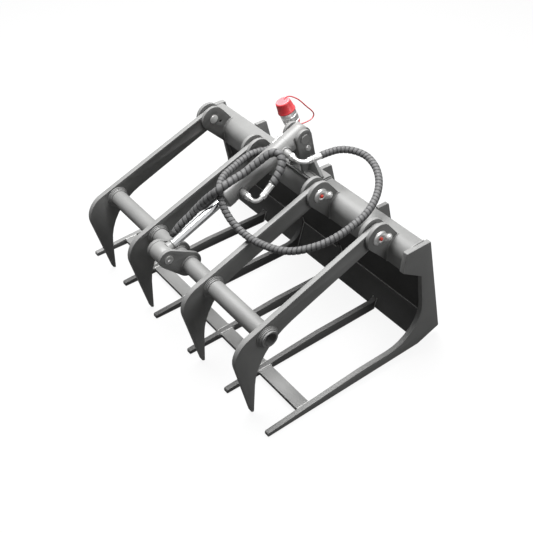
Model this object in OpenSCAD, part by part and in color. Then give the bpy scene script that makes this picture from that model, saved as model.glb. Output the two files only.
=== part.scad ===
// Log grapple for a small loader: a six-tine fork with a four-arm top jaw
// closed by one hydraulic cylinder. +X is the right-hand side, -Y points to
// the tine tips and +Z is up. The origin is on the ground, mid width, half
// way between the knuckles of the arms and the rear coupling.

/* [Fork frame] */
// Width over the two side plates
frame_w = 950; // [930:10:1100]
// Thickness of the side plates and tines
plate_t = 15; // [12:1:18]
// Height of a tine at its root
tine_h = 35; // [30:1:42]
// Height of a tine at its tip
tip_h = 14; // [10:1:18]
// Distance from the origin forward to the tine tips
tip_reach = 328; // [300:1:345]
// Height of the heads of the side plates
head_z = 402; // [394:1:412]
// Lean of the back wall from the vertical, in degrees
back_lean = 15.9; // [14:0.1:18]
// Radius of the throat between tine and back on a side plate
throat_r = 112; // [90:1:125]
// Thickness of the back plate and the toe plate
back_t = 12; // [8:1:14]

/* [Top beam] */
// Wall of the bent beam
beam_wall = 8; // [6:0.5:12]
// Radius of the front edge of the beam
beam_nose_r = 38; // [20:1:45]

/* [Front tie bar] */
// Distance from the tine tips to the front edge of the tie bar
tie_setback = 110; // [80:1:140]
// Width of the tie bar
tie_w = 42; // [30:1:60]
// Thickness of the tie bar
tie_t = 11; // [8:1:14]
// Radius of the corners that flare into the tines
tie_flare = 10; // [4:1:16]

/* [Top jaw] */
// Distance of the outer arms from the middle
outer_arm_x = 378.5; // [360:0.5:390]
// Distance of the inner arms from the middle
inner_arm_x = 141; // [120:1:160]
// Thickness of an arm
arm_t = 15; // [12:1:18]
// Radius of the rear eye of an arm
arm_eye_r = 33; // [30:1:36]
// Diameter of the arm pins
arm_pin_d = 25; // [20:1:28]
// Outer diameter of the bush in an arm
arm_bush_d = 38; // [34:1:42]
// Thickness of the ears on the beam
ear_t = 10; // [8:1:12]
// Radius of the ears round the pin
ear_r = 41; // [38:1:44]
// Side gap between an arm bush and each ear
ear_gap = 0.3; // [0.2:0.1:1]
// Outer diameter of the cross tube
tube_d = 50; // [44:1:56]
// Wall of the cross tube
tube_wall = 6; // [4:0.5:9]
// Length of the cross tube
tube_l = 802; // [790:1:830]

/* [Cylinder] */
// Outer diameter of the barrel
barrel_d = 56; // [54:1:58]
// Bore of the barrel
bore_d = 44; // [40:1:46]
// Diameter of the piston rod
rod_d = 25; // [20:1:28]
// Diameter of the base pin and the rod pin
cyl_pin_d = 20; // [16:1:22]
// Distance from the base pin to the front of the gland
barrel_reach = 288; // [280:1:296]
// Width of the eyes of the cylinder
eye_w = 44; // [38:1:48]
// Outer radius of the base eye
base_eye_r = 31; // [28:1:32]
// Outer radius of the rod eye
rod_eye_r = 27; // [24:1:29]
// Thickness of the clevis plates on the cross tube
clevis_t = 10; // [8:1:12]
// Side gap between an eye and each clevis plate
clevis_gap = 0.5; // [0.3:0.1:1.5]

/* [Rear coupling] */
// Distance of the two hook plates from the middle
hook_x = 280; // [240:1:330]
// Thickness of the hook plates and the middle ribs
hook_t = 12; // [10:1:16]
// Distance of the middle ribs from the middle
rib_x = 38; // [30:1:60]
// Diameter of the crossbar that the hooks hang on
hook_bar_d = 32; // [28:1:34]
// Diameter of the locking pin bores
lock_bore_d = 25; // [20:1:30]

/* [Hidden] */
$fn = 64;
arc_steps = 8;
run_fit = 0.06;
slip_fit = 0.05;

// Distance from the origin back to the rearmost edge of the hook plates
half_depth = 365;

// Driving places in the Y-Z plane, as [y, z]
arm_pivot = [96, 422];
tube_axis = [-265, 270];
base_pivot = [141, 525];
rod_pivot = [-330, 320];
arm_tip = [-311, 2];
knuckle = [-377.5, 269];
knuckle_r = 72.1;

// Back wall
lean_tan = tan(back_lean);
bend = [257, 104];
toe = [233, 10];
head_rear_y = 212;
head_front_y = 124;
head_drop = 65;
throat_top = [198, 287];
throat_lean = 0.2083;
heel_y = 236;
foot_z = 29;
foot_y = head_rear_y + (head_z - foot_z) * lean_tan;
back_t_y = back_t / cos(back_lean);
inner_half = frame_w / 2 - plate_t;
tine_pitch = (frame_w - plate_t) / 5;
tip_y = -tip_reach;

// Beam outline corners
beam_rear_top = [200, head_z];
beam_front_top = [128, head_z];
beam_front_low = [140, head_z - 86];
beam_rear_low = [226, head_z - 96];

// A tine's top rises from its tip to this y and runs level behind it
taper_end = 0;
function tine_top(y) = tip_h + (tine_h - tip_h) * min(1, (y - tip_y) / (taper_end - tip_y));

// Tie bar
tie_front = tip_y + tie_setback;
tie_top = tine_top(tie_front - tie_flare);

// Arms
arm_xs = [-outer_arm_x, -inner_arm_x, inner_arm_x, outer_arm_x];
bush_w = arm_t + 2;
ear_in = bush_w / 2 + ear_gap;
ear_out = ear_in + ear_t;
pin_head_t = 8;
pin_head_r = 19;
pin_tail = 3;
flag_reach = 30;
flag_r = 9;
flag_t = 5;
keeper_d = 8;
bolt_head_t = 5.3;
bolt_head_r = 7.4;
nipple_r = 4;

// Cylinder
cyl_run = norm(rod_pivot - base_pivot);
cyl_angle = atan2(base_pivot[0] - rod_pivot[0], rod_pivot[1] - base_pivot[1]);
clevis_in = eye_w / 2 + clevis_gap;
clevis_out = clevis_in + clevis_t;
gland_l = 26;
gland_d = barrel_d + 2;
port_out = barrel_d / 2 + 20;
port_r = 11;
port_weld_r = 15;
port_bore_r = 6;
barrel_s = 34;
bore_s = barrel_s + 10;
port_base_s = 66;
port_gland_s = barrel_reach - 52;
piston_w = 24;
piston_s = barrel_reach - 56;
groove_w = 5;
groove_at = [4, 14];
bush_wall = 3.5;

// Points of an outline with round corners: each corner is [x, y, radius]
function round_path(c) = [for (i = [0 : len(c) - 1])
    let (p = c[(i + len(c) - 1) % len(c)], q = c[i], n = c[(i + 1) % len(c)],
        a = [p[0] - q[0], p[1] - q[1]] / norm([p[0] - q[0], p[1] - q[1]]),
        b = [n[0] - q[0], n[1] - q[1]] / norm([n[0] - q[0], n[1] - q[1]]),
        half = acos(a * b) / 2,
        centre = [q[0], q[1]] + (a + b) / norm(a + b) * q[2] / sin(half),
        from = [q[0], q[1]] + a * q[2] / tan(half) - centre,
        to = [q[0], q[1]] + b * q[2] / tan(half) - centre,
        start = atan2(from[1], from[0]),
        turn = (atan2(to[1], to[0]) - start + 540) % 360 - 180)
    each q[2] == 0 ? [[q[0], q[1]]]
        : [for (k = [0 : arc_steps]) centre + q[2] * [cos(start + turn * k / arc_steps),
            sin(start + turn * k / arc_steps)]]];

// A plate cut to a Y-Z outline, centred on x
module plate_at(x, t, outline) {
    translate([x - t / 2, 0, 0])
        rotate([90, 0, 90])
            linear_extrude(t) polygon(round_path(outline));
}

// A round bar along X from x0 to x1 at the Y-Z place p
module bar_x(p, x0, x1, r) {
    translate([x0, p[0], p[1]])
        rotate([0, 90, 0])
            cylinder(h = x1 - x0, r = r);
}

// The two sides of the object, or one side
module both_sides() {
    children();
    mirror([1, 0, 0]) children();
}

// Local frame of the cylinder: +Z runs from the base pin to the rod pin
module on_cylinder() {
    translate([0, base_pivot[0], base_pivot[1]])
        rotate([cyl_angle, 0, 0])
            children();
}

// Side plates, tines and back wall

// Corners of a tine's tip, and of the end of its taper
tip_low = [tip_y, 0, 4];
tip_top = [tip_y, tip_h, 5];
taper_corner = [taper_end, tine_h, 300];

side_outline = [
    tip_low, [heel_y, 0, 6], [foot_y, foot_z, 4],
    [head_rear_y, head_z, 4], [head_front_y, head_z, 3],
    [head_front_y - 4, head_z - head_drop, 3], [throat_top[0], throat_top[1], 8],
    [throat_top[0] + (throat_top[1] - tine_h) * throat_lean, tine_h, throat_r],
    taper_corner, tip_top];

module side_plate(x) {
    color("dimgray") plate_at(x, plate_t, side_outline);
}

module side_plate_left() { side_plate(-frame_w / 2 + plate_t / 2); }
module side_plate_right() { side_plate(frame_w / 2 - plate_t / 2); }

// Front face of the toe plate at height z
function toe_face(z) = toe[0] + (bend[0] - toe[0]) * (z - toe[1]) / (bend[1] - toe[1]);
// Front face of the back plate at height z
function back_face(z) = bend[0] - (z - bend[1]) * lean_tan;

module main_tine(x) {
    rib_top = bend[1] + 22;
    color("dimgray")
        plate_at(x, plate_t, [
            tip_low, [toe_face(0), 0, 0], [bend[0], bend[1], 0],
            [back_face(rib_top), rib_top, 0], [back_face(rib_top) - 3, rib_top, 0],
            [bend[0] - 8, tine_h, 62], taper_corner, tip_top]);
}

module main_tine_left() { main_tine(-tine_pitch / 2); }
module main_tine_right() { main_tine(tine_pitch / 2); }

module short_tine(x) {
    color("dimgray")
        plate_at(x, plate_t, [
            tip_low, [toe_face(0), 0, 0], [toe_face(tine_h + 8), tine_h + 8, 0],
            [toe_face(tine_h + 8) - 16, tine_h, 20], taper_corner, tip_top]);
}

module short_tine_left() { short_tine(-tine_pitch * 1.5); }
module short_tine_right() { short_tine(tine_pitch * 1.5); }

module back_plate() {
    top = beam_rear_low[1] + 4;
    color("dimgray")
        difference() {
            plate_at(0, inner_half * 2, [
                [bend[0], bend[1], 0], [bend[0] + back_t_y, bend[1], 0],
                [back_face(top) + back_t_y, top, 0], [back_face(top), top, 0]]);
            beam_solid(inner_half * 2 + 2);
        }
}

module toe_plate() {
    color("dimgray")
        plate_at(0, inner_half * 2, [
            [toe[0], toe[1], 0], [toe[0] + back_t_y, toe[1], 0],
            [bend[0] + back_t_y, bend[1], 0], [bend[0], bend[1], 0]]);
}

// Top beam, bent from plate into a closed section

beam_outline = [
    [beam_rear_top[0], beam_rear_top[1], 5], [beam_front_top[0], beam_front_top[1], beam_nose_r],
    [beam_front_low[0], beam_front_low[1], 12], [beam_rear_low[0], beam_rear_low[1], 12]];

module beam_solid(w) { plate_at(0, w, beam_outline); }

module top_beam() {
    w = beam_wall;
    color("gray")
        difference() {
            beam_solid(inner_half * 2);
            plate_at(0, inner_half * 2 + 2, [
                [beam_rear_top[0] - w, beam_rear_top[1] - w, 2],
                [beam_front_top[0] + w, beam_front_top[1] - w, beam_nose_r - w],
                [beam_front_low[0] + w, beam_front_low[1] + w, 12 - w / 2],
                [beam_rear_low[0] - w, beam_rear_low[1] + w, 12 - w / 2]]);
        }
}

// Front tie bar: five short bars between the tines

module tie_bar(i) {
    left = -frame_w / 2 + plate_t + i * tine_pitch;
    right = left + tine_pitch - plate_t;
    // The outer ends meet the side plates square
    flare_left = i > 0 ? [left] : [];
    flare_right = i < 4 ? [right] : [];
    color("dimgray")
        translate([0, tie_front, tie_top - tie_t])
            difference() {
                union() {
                    translate([left, 0, 0]) cube([right - left, tie_w, tie_t]);
                    for (x = flare_left)
                        translate([x, -tie_flare, 0]) cube([tie_flare, tie_w + 2 * tie_flare, tie_t]);
                    for (x = flare_right)
                        translate([x - tie_flare, -tie_flare, 0])
                            cube([tie_flare, tie_w + 2 * tie_flare, tie_t]);
                }
                for (x = concat([for (x = flare_left) x + tie_flare],
                        [for (x = flare_right) x - tie_flare]), y = [-tie_flare, tie_w + tie_flare])
                    translate([x, y, -1])
                        cylinder(h = tie_t + 2, r = tie_flare);
            }
}

module tie_bar_1() { tie_bar(0); }
module tie_bar_2() { tie_bar(1); }
module tie_bar_3() { tie_bar(2); }
module tie_bar_4() { tie_bar(3); }
module tie_bar_5() { tie_bar(4); }

// Ears on the beam that carry the arms

keeper_at = arm_pivot + flag_reach * [cos(-32), sin(-32)];

// Where a line from p touches a circle of radius r round c, on side s
function touch(c, r, p, s) =
    let (a = atan2(p[1] - c[1], p[0] - c[0]), b = acos(r / norm(p - c)))
    c + r * [cos(a + s * b), sin(a + s * b)];

ear_top = [beam_front_top[0] + beam_nose_r + 2, head_z - 1];
ear_low = [beam_front_low[0] - 3, beam_front_low[1] + 8];
ear_outline = [touch(arm_pivot, ear_r, ear_top, 1), ear_top, ear_low + [20, 10], ear_low,
    touch(arm_pivot, ear_r, ear_low, -1), arm_pivot];

module ear(x) {
    bar_x(arm_pivot, x - ear_t / 2, x + ear_t / 2, ear_r);
    translate([x - ear_t / 2, 0, 0])
        rotate([90, 0, 90])
            linear_extrude(ear_t) polygon(ear_outline);
}

module arm_ears(i) {
    x = arm_xs[i];
    color("dimgray")
        difference() {
            for (s = [-1, 1])
                ear(x + s * (ear_in + ear_t / 2));
            beam_solid(frame_w);
            bar_x(arm_pivot, x - 60, x + 60, arm_pin_d / 2 + slip_fit);
            bar_x(keeper_at, x - 60, x + 60, keeper_d / 2 + slip_fit);
        }
}

module arm_ears_1() { arm_ears(0); }
module arm_ears_2() { arm_ears(1); }
module arm_ears_3() { arm_ears(2); }
module arm_ears_4() { arm_ears(3); }

// One pin for each arm, with a flag head on its outer end

module arm_pin(x) {
    translate([x, arm_pivot[0], arm_pivot[1]])
        rotate([0, 90, 0])
            difference() {
                union() {
                    translate([0, 0, -ear_out - pin_tail])
                        cylinder(h = 2 * ear_out + pin_tail + 1, r = arm_pin_d / 2);
                    translate([0, 0, ear_out + slip_fit])
                        cylinder(h = pin_head_t, r1 = pin_head_r, r2 = pin_head_r - 3);
                    translate([0, 0, ear_out + slip_fit])
                        pin_flag();
                }
                translate([0, 0, ear_out + 2])
                    cylinder(h = pin_head_t + 2, r = nipple_r + slip_fit);
            }
}

// The lobe of a pin's head that its keeper bolt holds
module pin_flag() {
    d = keeper_at - arm_pivot;
    difference() {
        union() {
            rotate([0, 0, atan2(d[0], -d[1])])
                translate([0, 0.5 - flag_r, 0]) cube([flag_reach, 2 * flag_r - 1, flag_t]);
            translate([-d[1], d[0], 0]) cylinder(h = flag_t, r = flag_r);
        }
        translate([-d[1], d[0], -1]) cylinder(h = flag_t + 2, r = keeper_d / 2 + slip_fit);
    }
}

module arm_pins() {
    color("silver") both_sides() for (x = [inner_arm_x, outer_arm_x]) arm_pin(x);
}

module pin_keeper_bolts() {
    seat = ear_out + slip_fit + flag_t;
    color("silver")
        both_sides()
            for (x = [inner_arm_x, outer_arm_x])
                translate([x, keeper_at[0], keeper_at[1]])
                    rotate([0, 90, 0]) {
                        translate([0, 0, ear_in + 1]) cylinder(h = seat - ear_in - 1, r = keeper_d / 2);
                        translate([0, 0, seat]) cylinder(h = bolt_head_t, r = bolt_head_r, $fn = 6);
                    }
}

module grease_nipples() {
    color("firebrick")
        both_sides()
            for (x = [inner_arm_x, outer_arm_x])
                translate([x + ear_out + 2, arm_pivot[0], arm_pivot[1]])
                    rotate([0, 90, 0]) {
                        cylinder(h = pin_head_t - 1, r = nipple_r);
                        translate([0, 0, pin_head_t - 1]) cylinder(h = 4, r1 = nipple_r + 1.5, r2 = nipple_r);
                    }
}

// Bracket on the beam that carries the base of the cylinder

saddle_half = 92;
saddle_t = 8;
bracket_ear_r = 27;

module bracket_saddle() {
    color("dimgray")
        translate([-saddle_half, beam_rear_top[0] - 58, head_z])
            cube([saddle_half * 2, 56, saddle_t]);
}

module bracket_ear(s) {
    foot = head_z + saddle_t;
    x = s > 0 ? clevis_in : -clevis_out;
    front = [beam_rear_top[0] - 58, foot];
    rear = [beam_rear_top[0] - 4, foot];
    color("dimgray")
        difference() {
            union() {
                bar_x(base_pivot, x, x + clevis_t, bracket_ear_r);
                translate([x, 0, 0])
                    rotate([90, 0, 90])
                        linear_extrude(clevis_t)
                            polygon([touch(base_pivot, bracket_ear_r, rear, 1), rear, front,
                                touch(base_pivot, bracket_ear_r, front, -1), base_pivot]);
            }
            bar_x(base_pivot, -80, 80, cyl_pin_d / 2 + slip_fit);
        }
}

module bracket_ear_left() { bracket_ear(-1); }
module bracket_ear_right() { bracket_ear(1); }

module bracket_gussets() {
    foot = head_z + saddle_t;
    t = 10;
    color("dimgray")
        both_sides()
            translate([clevis_out, beam_rear_top[0] - 28, foot])
                rotate([90, 0, 0])
                    linear_extrude(t)
                        polygon(round_path([[0, 0, 0], [saddle_half - clevis_out - 4, 0, 0],
                            [saddle_half - clevis_out - 4, 6, 0], [8, 52, 0], [0, 52, 0]]));
}

ring_t = 1.5;
washer_t = 1.6;
base_pin_tail = 5;
ear_bolt_at = base_pivot + [13, -34];

module base_pin() {
    color("silver")
        difference() {
            union() {
                bar_x(base_pivot, -clevis_out - base_pin_tail, clevis_out + 1, cyl_pin_d / 2);
                bar_x(base_pivot, clevis_out, clevis_out + 5, cyl_pin_d / 2 + 4);
            }
            difference() {
                bar_x(base_pivot, -clevis_out - slip_fit - ring_t, -clevis_out - slip_fit, cyl_pin_d);
                bar_x(base_pivot, -clevis_out - base_pin_tail, -clevis_out, cyl_pin_d / 2 - 1);
            }
        }
}

// Retaining ring on the base pin, and the bolt that keeps its head from turning
module base_pin_clips() {
    color("silver") {
        difference() {
            bar_x(base_pivot, -clevis_out - slip_fit - ring_t, -clevis_out - slip_fit, cyl_pin_d / 2 + 3);
            bar_x(base_pivot, -clevis_out - base_pin_tail, -clevis_out + 1, cyl_pin_d / 2 - 1);
        }
        translate([clevis_out, ear_bolt_at[0], ear_bolt_at[1]])
            rotate([0, 90, 0]) {
                cylinder(h = washer_t, r = bolt_head_r + 1);
                translate([0, 0, washer_t]) cylinder(h = bolt_head_t, r = bolt_head_r, $fn = 6);
            }
    }
}

// Rear coupling: two hook plates and two middle ribs behind the back wall

function rear_face(z) = head_rear_y + (head_z - z) * lean_tan;

hook_top = head_z + 2;
hook_seat_r = hook_bar_d / 2 + 0.5;
hook_bar_at = [300, 206];
hook_rear = hook_bar_at[0] + hook_seat_r + 12;
hook_mouth = hook_bar_at[1] - 24;
strip_w = 8;
lock_at = [half_depth - 32, 96];
lock_eye_r = 32;

hook_outline = [
    [beam_rear_top[0] + 2, hook_top, 2],
    [rear_face(hook_top) + 30, hook_top, 6],
    [rear_face(hook_bar_at[1] + 64) + 30, hook_bar_at[1] + 64, 20],
    [hook_rear, hook_bar_at[1] + 16, 18],
    [hook_rear, hook_mouth, 5],
    [rear_face(hook_mouth) + strip_w, hook_mouth, 0],
    [rear_face(lock_at[1] + 54) + strip_w, lock_at[1] + 54, 30],
    [half_depth, lock_at[1] + lock_eye_r, lock_eye_r - 2],
    [half_depth, lock_at[1] - lock_eye_r, lock_eye_r - 4],
    [bend[0] + 40, lock_at[1] - 50, 12],
    [bend[0] + back_t_y + 2, lock_at[1] - 36, 4],
    [bend[0] + back_t_y - 2, bend[1], 0],
    [back_face(beam_rear_low[1]) + back_t_y - 2, beam_rear_low[1] + 2, 0],
    [beam_rear_low[0] - 12, beam_rear_low[1] + 2, 0]];

// The space in front of the rear face of the back plate
module wall_cut() {
    plate_at(0, frame_w, [
        [bend[0] - 20, bend[1] - 40, 0], [toe_face(bend[1] - 40) + back_t_y, bend[1] - 40, 0],
        [bend[0] + back_t_y, bend[1], 0], [back_face(head_z) + back_t_y, head_z, 0],
        [back_face(head_z) - 20, head_z, 0]]);
}

module hook_plate(s) {
    x = s * hook_x;
    color("dimgray")
        difference() {
            plate_at(x, hook_t, hook_outline);
            beam_solid(frame_w);
            wall_cut();
            bar_x(hook_bar_at, x - hook_t, x + hook_t, hook_seat_r);
            translate([x - hook_t, hook_bar_at[0] - hook_seat_r, hook_mouth - 10])
                cube([hook_t * 2, hook_seat_r * 2, hook_bar_at[1] - hook_mouth + 10]);
            bar_x(lock_at, x - hook_t, x + hook_t, lock_bore_d / 2);
        }
}

module hook_plate_left() { hook_plate(-1); }
module hook_plate_right() { hook_plate(1); }

module middle_ribs() {
    color("dimgray")
        difference() {
            for (s = [-1, 1])
                plate_at(s * rib_x, hook_t, [
                    [beam_rear_top[0] + 2, hook_top, 2], [rear_face(hook_top) + 30, hook_top, 6],
                    [rear_face(150) + 30, 150, 12], [rear_face(118) - 6, 118, 6],
                    [bend[0] + back_t_y - 2, bend[1] + 8, 0],
                    [back_face(beam_rear_low[1]) + back_t_y - 2, beam_rear_low[1] + 2, 0],
                    [beam_rear_low[0] - 12, beam_rear_low[1] + 2, 0]]);
            beam_solid(frame_w);
            wall_cut();
        }
}

// Top jaw: four arms joined by the cross tube

arm_outline = [
    [arm_pivot[0] + arm_eye_r, arm_pivot[1] + arm_eye_r + 9, arm_eye_r * 0.86],
    [knuckle[0], knuckle[1], knuckle_r],
    [arm_tip[0] - 5, arm_tip[1] + 6, 5],
    [arm_tip[0] + 4, arm_tip[1], 3],
    [-298, 231, 190],
    [arm_pivot[0] + 2, arm_pivot[1] - arm_eye_r + 1, 40],
    [arm_pivot[0] + arm_eye_r, arm_pivot[1] - arm_eye_r + 8, arm_eye_r * 0.7]];

module arm(i) {
    x = arm_xs[i];
    color("dimgray")
        difference() {
            plate_at(x, arm_t, arm_outline);
            bar_x(arm_pivot, x - 20, x + 20, arm_bush_d / 2);
            bar_x(tube_axis, x - 20, x + 20, tube_d / 2 + slip_fit);
        }
}

module arm_1() { arm(0); }
module arm_2() { arm(1); }
module arm_3() { arm(2); }
module arm_4() { arm(3); }

module arm_bushes() {
    color("silver")
        for (x = arm_xs)
            difference() {
                bar_x(arm_pivot, x - bush_w / 2, x + bush_w / 2, arm_bush_d / 2);
                bar_x(arm_pivot, x - bush_w, x + bush_w, arm_pin_d / 2 + run_fit);
            }
}

module cross_tube() {
    color("dimgray")
        difference() {
            bar_x(tube_axis, -tube_l / 2, tube_l / 2, tube_d / 2);
            bar_x(tube_axis, -tube_l / 2 - 1, tube_l / 2 + 1, tube_d / 2 - tube_wall);
        }
}

module tube_collars() {
    collar_t = 6;
    color("dimgray")
        for (x = arm_xs)
            difference() {
                bar_x(tube_axis, x + arm_t / 2, x + arm_t / 2 + collar_t, tube_d / 2 + 6);
                bar_x(tube_axis, x, x + 20, tube_d / 2 + slip_fit);
            }
}

// Clevis on the cross tube that takes the rod eye

clevis_dir = atan2(rod_pivot[1] - tube_axis[1], rod_pivot[0] - tube_axis[0]);
clevis_len = norm(rod_pivot - tube_axis);
clevis_big = tube_d / 2 + 14;
clevis_small = rod_eye_r + 1;

module clevis(s) {
    x = s > 0 ? clevis_in : -clevis_out;
    tangent = acos((clevis_big - clevis_small) / clevis_len);
    color("dimgray")
        difference() {
            union() {
                bar_x(tube_axis, x, x + clevis_t, clevis_big);
                bar_x(rod_pivot, x, x + clevis_t, clevis_small);
                translate([x, 0, 0])
                    rotate([90, 0, 90])
                        linear_extrude(clevis_t)
                            polygon([for (e = [[tube_axis, clevis_big, 1],
                                [rod_pivot, clevis_small, 1], [rod_pivot, clevis_small, -1],
                                [tube_axis, clevis_big, -1]])
                                e[0] + e[1] * [cos(clevis_dir + e[2] * tangent),
                                    sin(clevis_dir + e[2] * tangent)]]);
            }
            bar_x(tube_axis, x - 1, x + clevis_t + 1, tube_d / 2 + slip_fit);
            bar_x(rod_pivot, x - 1, x + clevis_t + 1, cyl_pin_d / 2 + slip_fit);
        }
}

module clevis_left() { clevis(-1); }
module clevis_right() { clevis(1); }

// The rod pin is cut level with the eye: its ends stay in the clevis plates
module rod_pin_ends() {
    color("silver")
        both_sides()
            difference() {
                union() {
                    bar_x(rod_pivot, clevis_in, clevis_out, cyl_pin_d / 2);
                    bar_x(rod_pivot, clevis_out, clevis_out + 4, cyl_pin_d / 2 + 3);
                }
                bar_x(rod_pivot, clevis_out + 1.5, clevis_out + 5, 4);
            }
}

module rod_pin_core() {
    color("silver")
        bar_x(rod_pivot, -eye_w / 2, eye_w / 2, cyl_pin_d / 2);
}

// Hydraulic cylinder, modelled along its own axis

module eye_solid(s, r, w) {
    translate([0, 0, s])
        rotate([0, 90, 0])
            cylinder(h = w, r = r, center = true);
}

module barrel() {
    tube_end = barrel_reach - gland_l;
    color("dimgray")
        on_cylinder()
            difference() {
                union() {
                    eye_solid(0, base_eye_r, eye_w);
                    cylinder(h = barrel_s, r = eye_w / 2 - 1);
                    translate([0, 0, barrel_s]) cylinder(h = tube_end - barrel_s, r = barrel_d / 2);
                    for (s = [port_base_s, port_gland_s])
                        translate([0, 0, s])
                            rotate([0, 90, 0]) {
                                cylinder(h = port_out, r = port_r);
                                translate([0, 0, barrel_d / 2 - 4])
                                    cylinder(h = 12, r1 = port_weld_r, r2 = port_r);
                            }
                }
                translate([0, 0, bore_s]) cylinder(h = tube_end, r = bore_d / 2);
                eye_solid(0, cyl_pin_d / 2 + bush_wall, eye_w + 2);
                for (s = [port_base_s, port_gland_s])
                    translate([0, 0, s])
                        rotate([0, 90, 0])
                            cylinder(h = port_out + 1, r = port_bore_r);
            }
}

module base_eye_bush() {
    color("goldenrod")
        on_cylinder()
            difference() {
                eye_solid(0, cyl_pin_d / 2 + bush_wall, eye_w);
                eye_solid(0, cyl_pin_d / 2 + run_fit, eye_w + 2);
            }
}

module gland() {
    color("dimgray")
        on_cylinder()
            translate([0, 0, barrel_reach - gland_l])
                difference() {
                    union() {
                        cylinder(h = gland_l - 4, r = gland_d / 2);
                        translate([0, 0, gland_l - 4]) cylinder(h = 4, r1 = gland_d / 2, r2 = gland_d / 2 - 4);
                    }
                    translate([0, 0, -1]) cylinder(h = gland_l + 2, r = rod_d / 2 + run_fit);
                    translate([0, 0, gland_l - 6]) cylinder(h = 7, r = rod_d / 2 + 4);
                }
}

module wiper_seal() {
    color("black")
        on_cylinder()
            translate([0, 0, barrel_reach - 6])
                difference() {
                    cylinder(h = 7, r = rod_d / 2 + 4);
                    translate([0, 0, -1]) cylinder(h = 9, r = rod_d / 2 + run_fit);
                }
}

// Where the rod meets the neck of its eye
rod_end_s = cyl_run - rod_eye_r - 12;

module piston_rod() {
    color("gainsboro")
        on_cylinder()
            translate([0, 0, piston_s - 2])
                cylinder(h = rod_end_s - piston_s + 2, r = rod_d / 2);
}

module rod_eye() {
    color("dimgray")
        on_cylinder()
            difference() {
                union() {
                    translate([0, 0, rod_end_s]) cylinder(h = 16, r1 = rod_d / 2, r2 = rod_d / 2 + 5);
                    eye_solid(cyl_run, rod_eye_r, eye_w);
                }
                eye_solid(cyl_run, cyl_pin_d / 2 + bush_wall, eye_w + 2);
            }
}

module rod_eye_bush() {
    color("goldenrod")
        on_cylinder()
            difference() {
                eye_solid(cyl_run, cyl_pin_d / 2 + bush_wall, eye_w);
                eye_solid(cyl_run, cyl_pin_d / 2 + slip_fit, eye_w + 2);
            }
}

module piston() {
    color("silver")
        on_cylinder()
            translate([0, 0, piston_s - 2 - piston_w])
                difference() {
                    cylinder(h = piston_w, r = bore_d / 2 - run_fit);
                    for (z = groove_at)
                        translate([0, 0, z])
                            difference() {
                                cylinder(h = groove_w, r = bore_d / 2 + 1);
                                translate([0, 0, -1]) cylinder(h = groove_w + 2, r = bore_d / 2 - 4);
                            }
                }
}

module piston_seals() {
    color("black")
        on_cylinder()
            for (z = groove_at)
                translate([0, 0, piston_s - 2 - piston_w + z])
                    difference() {
                        cylinder(h = groove_w, r = bore_d / 2 - run_fit);
                        translate([0, 0, -1]) cylinder(h = groove_w + 2, r = bore_d / 2 - 4);
                    }
}

// Hose fittings. A place is an x and a Y-Z point, and an angle is measured
// from +Y towards +Z.

elbow_x = 95;
elbow_r = 22;
elbow_pipe_r = 6;
port_nut_t = 12;
swivel_t = 10;
ferrule_l = 36;
ferrule_r = 9.5;
base_elbow_lift = 0;
gland_elbow_lift = 40;
loop_hose_r = 8;
run_hose_r = 11;

function axis_at(s) = base_pivot + s * (rod_pivot - base_pivot) / cyl_run;
function heading(a) = [cos(a), sin(a)];
function placed(x, p) = [x, p[0], p[1]];

// Children drawn along +Z start at the place and run along the angle
module aim(x, p, a) {
    translate([x, p[0], p[1]])
        rotate([a - 90, 0, 0])
            children();
}

module port_elbow(s, lift) {
    at = axis_at(s);
    straight = elbow_x - port_out - port_nut_t - elbow_r;
    translate([port_out, at[0], at[1]])
        rotate([lift, 0, 0]) {
            rotate([0, 90, 0]) cylinder(h = port_nut_t, r = 11, $fn = 6);
            translate([port_nut_t, 0, 0])
                rotate([0, 90, 0]) cylinder(h = straight, r = elbow_pipe_r);
            translate([port_nut_t + straight, elbow_r, 0])
                rotate([0, 0, -90])
                    rotate_extrude(angle = 90) translate([elbow_r, 0]) circle(r = elbow_pipe_r);
            translate([elbow_x - port_out, elbow_r, 0])
                rotate([-90, 0, 0]) cylinder(h = swivel_t, r = 10, $fn = 6);
        }
}

module port_elbows() {
    color("silver") {
        port_elbow(port_base_s, base_elbow_lift);
        port_elbow(port_gland_s, gland_elbow_lift);
    }
}

// Where the ferrules start, and where the hoses leave them
elbow_run = elbow_r + swivel_t;
base_ferrule = axis_at(port_base_s) + elbow_run * heading(base_elbow_lift);
gland_ferrule = axis_at(port_gland_s) + elbow_run * heading(gland_elbow_lift);
base_exit = base_ferrule + ferrule_l * heading(base_elbow_lift);
gland_exit = gland_ferrule + ferrule_l * heading(gland_elbow_lift);

// Route of the looped hose, from the base elbow to the capped coupler
coupler_x = -58;
loop_end = [96, 471];
loop_route = concat([placed(elbow_x, base_exit)], [
    [97, 176, 499], [104, 205, 500], [120, 230, 499], [146, 247, 497], [179, 252, 495],
    [223, 240, 490], [262, 216, 481], [294, 182, 471], [318, 141, 462], [332, 99, 452],
    [336, 56, 442], [335, 9, 431], [324, -36, 418], [301, -75, 405], [274, -103, 395],
    [235, -122, 386], [186, -134, 379], [140, -140, 376], [95, -147, 387], [62, -150, 405],
    [33, -148, 428], [5, -136, 448], [-18, -116, 457], [-35, -90, 461], [-46, -54, 464],
    [-55, -15, 470], [-58, 20, 475], [-58, 42, 473], [-58, 62, 469], [-58, 80, 467]],
    [placed(coupler_x, loop_end)]);

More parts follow.
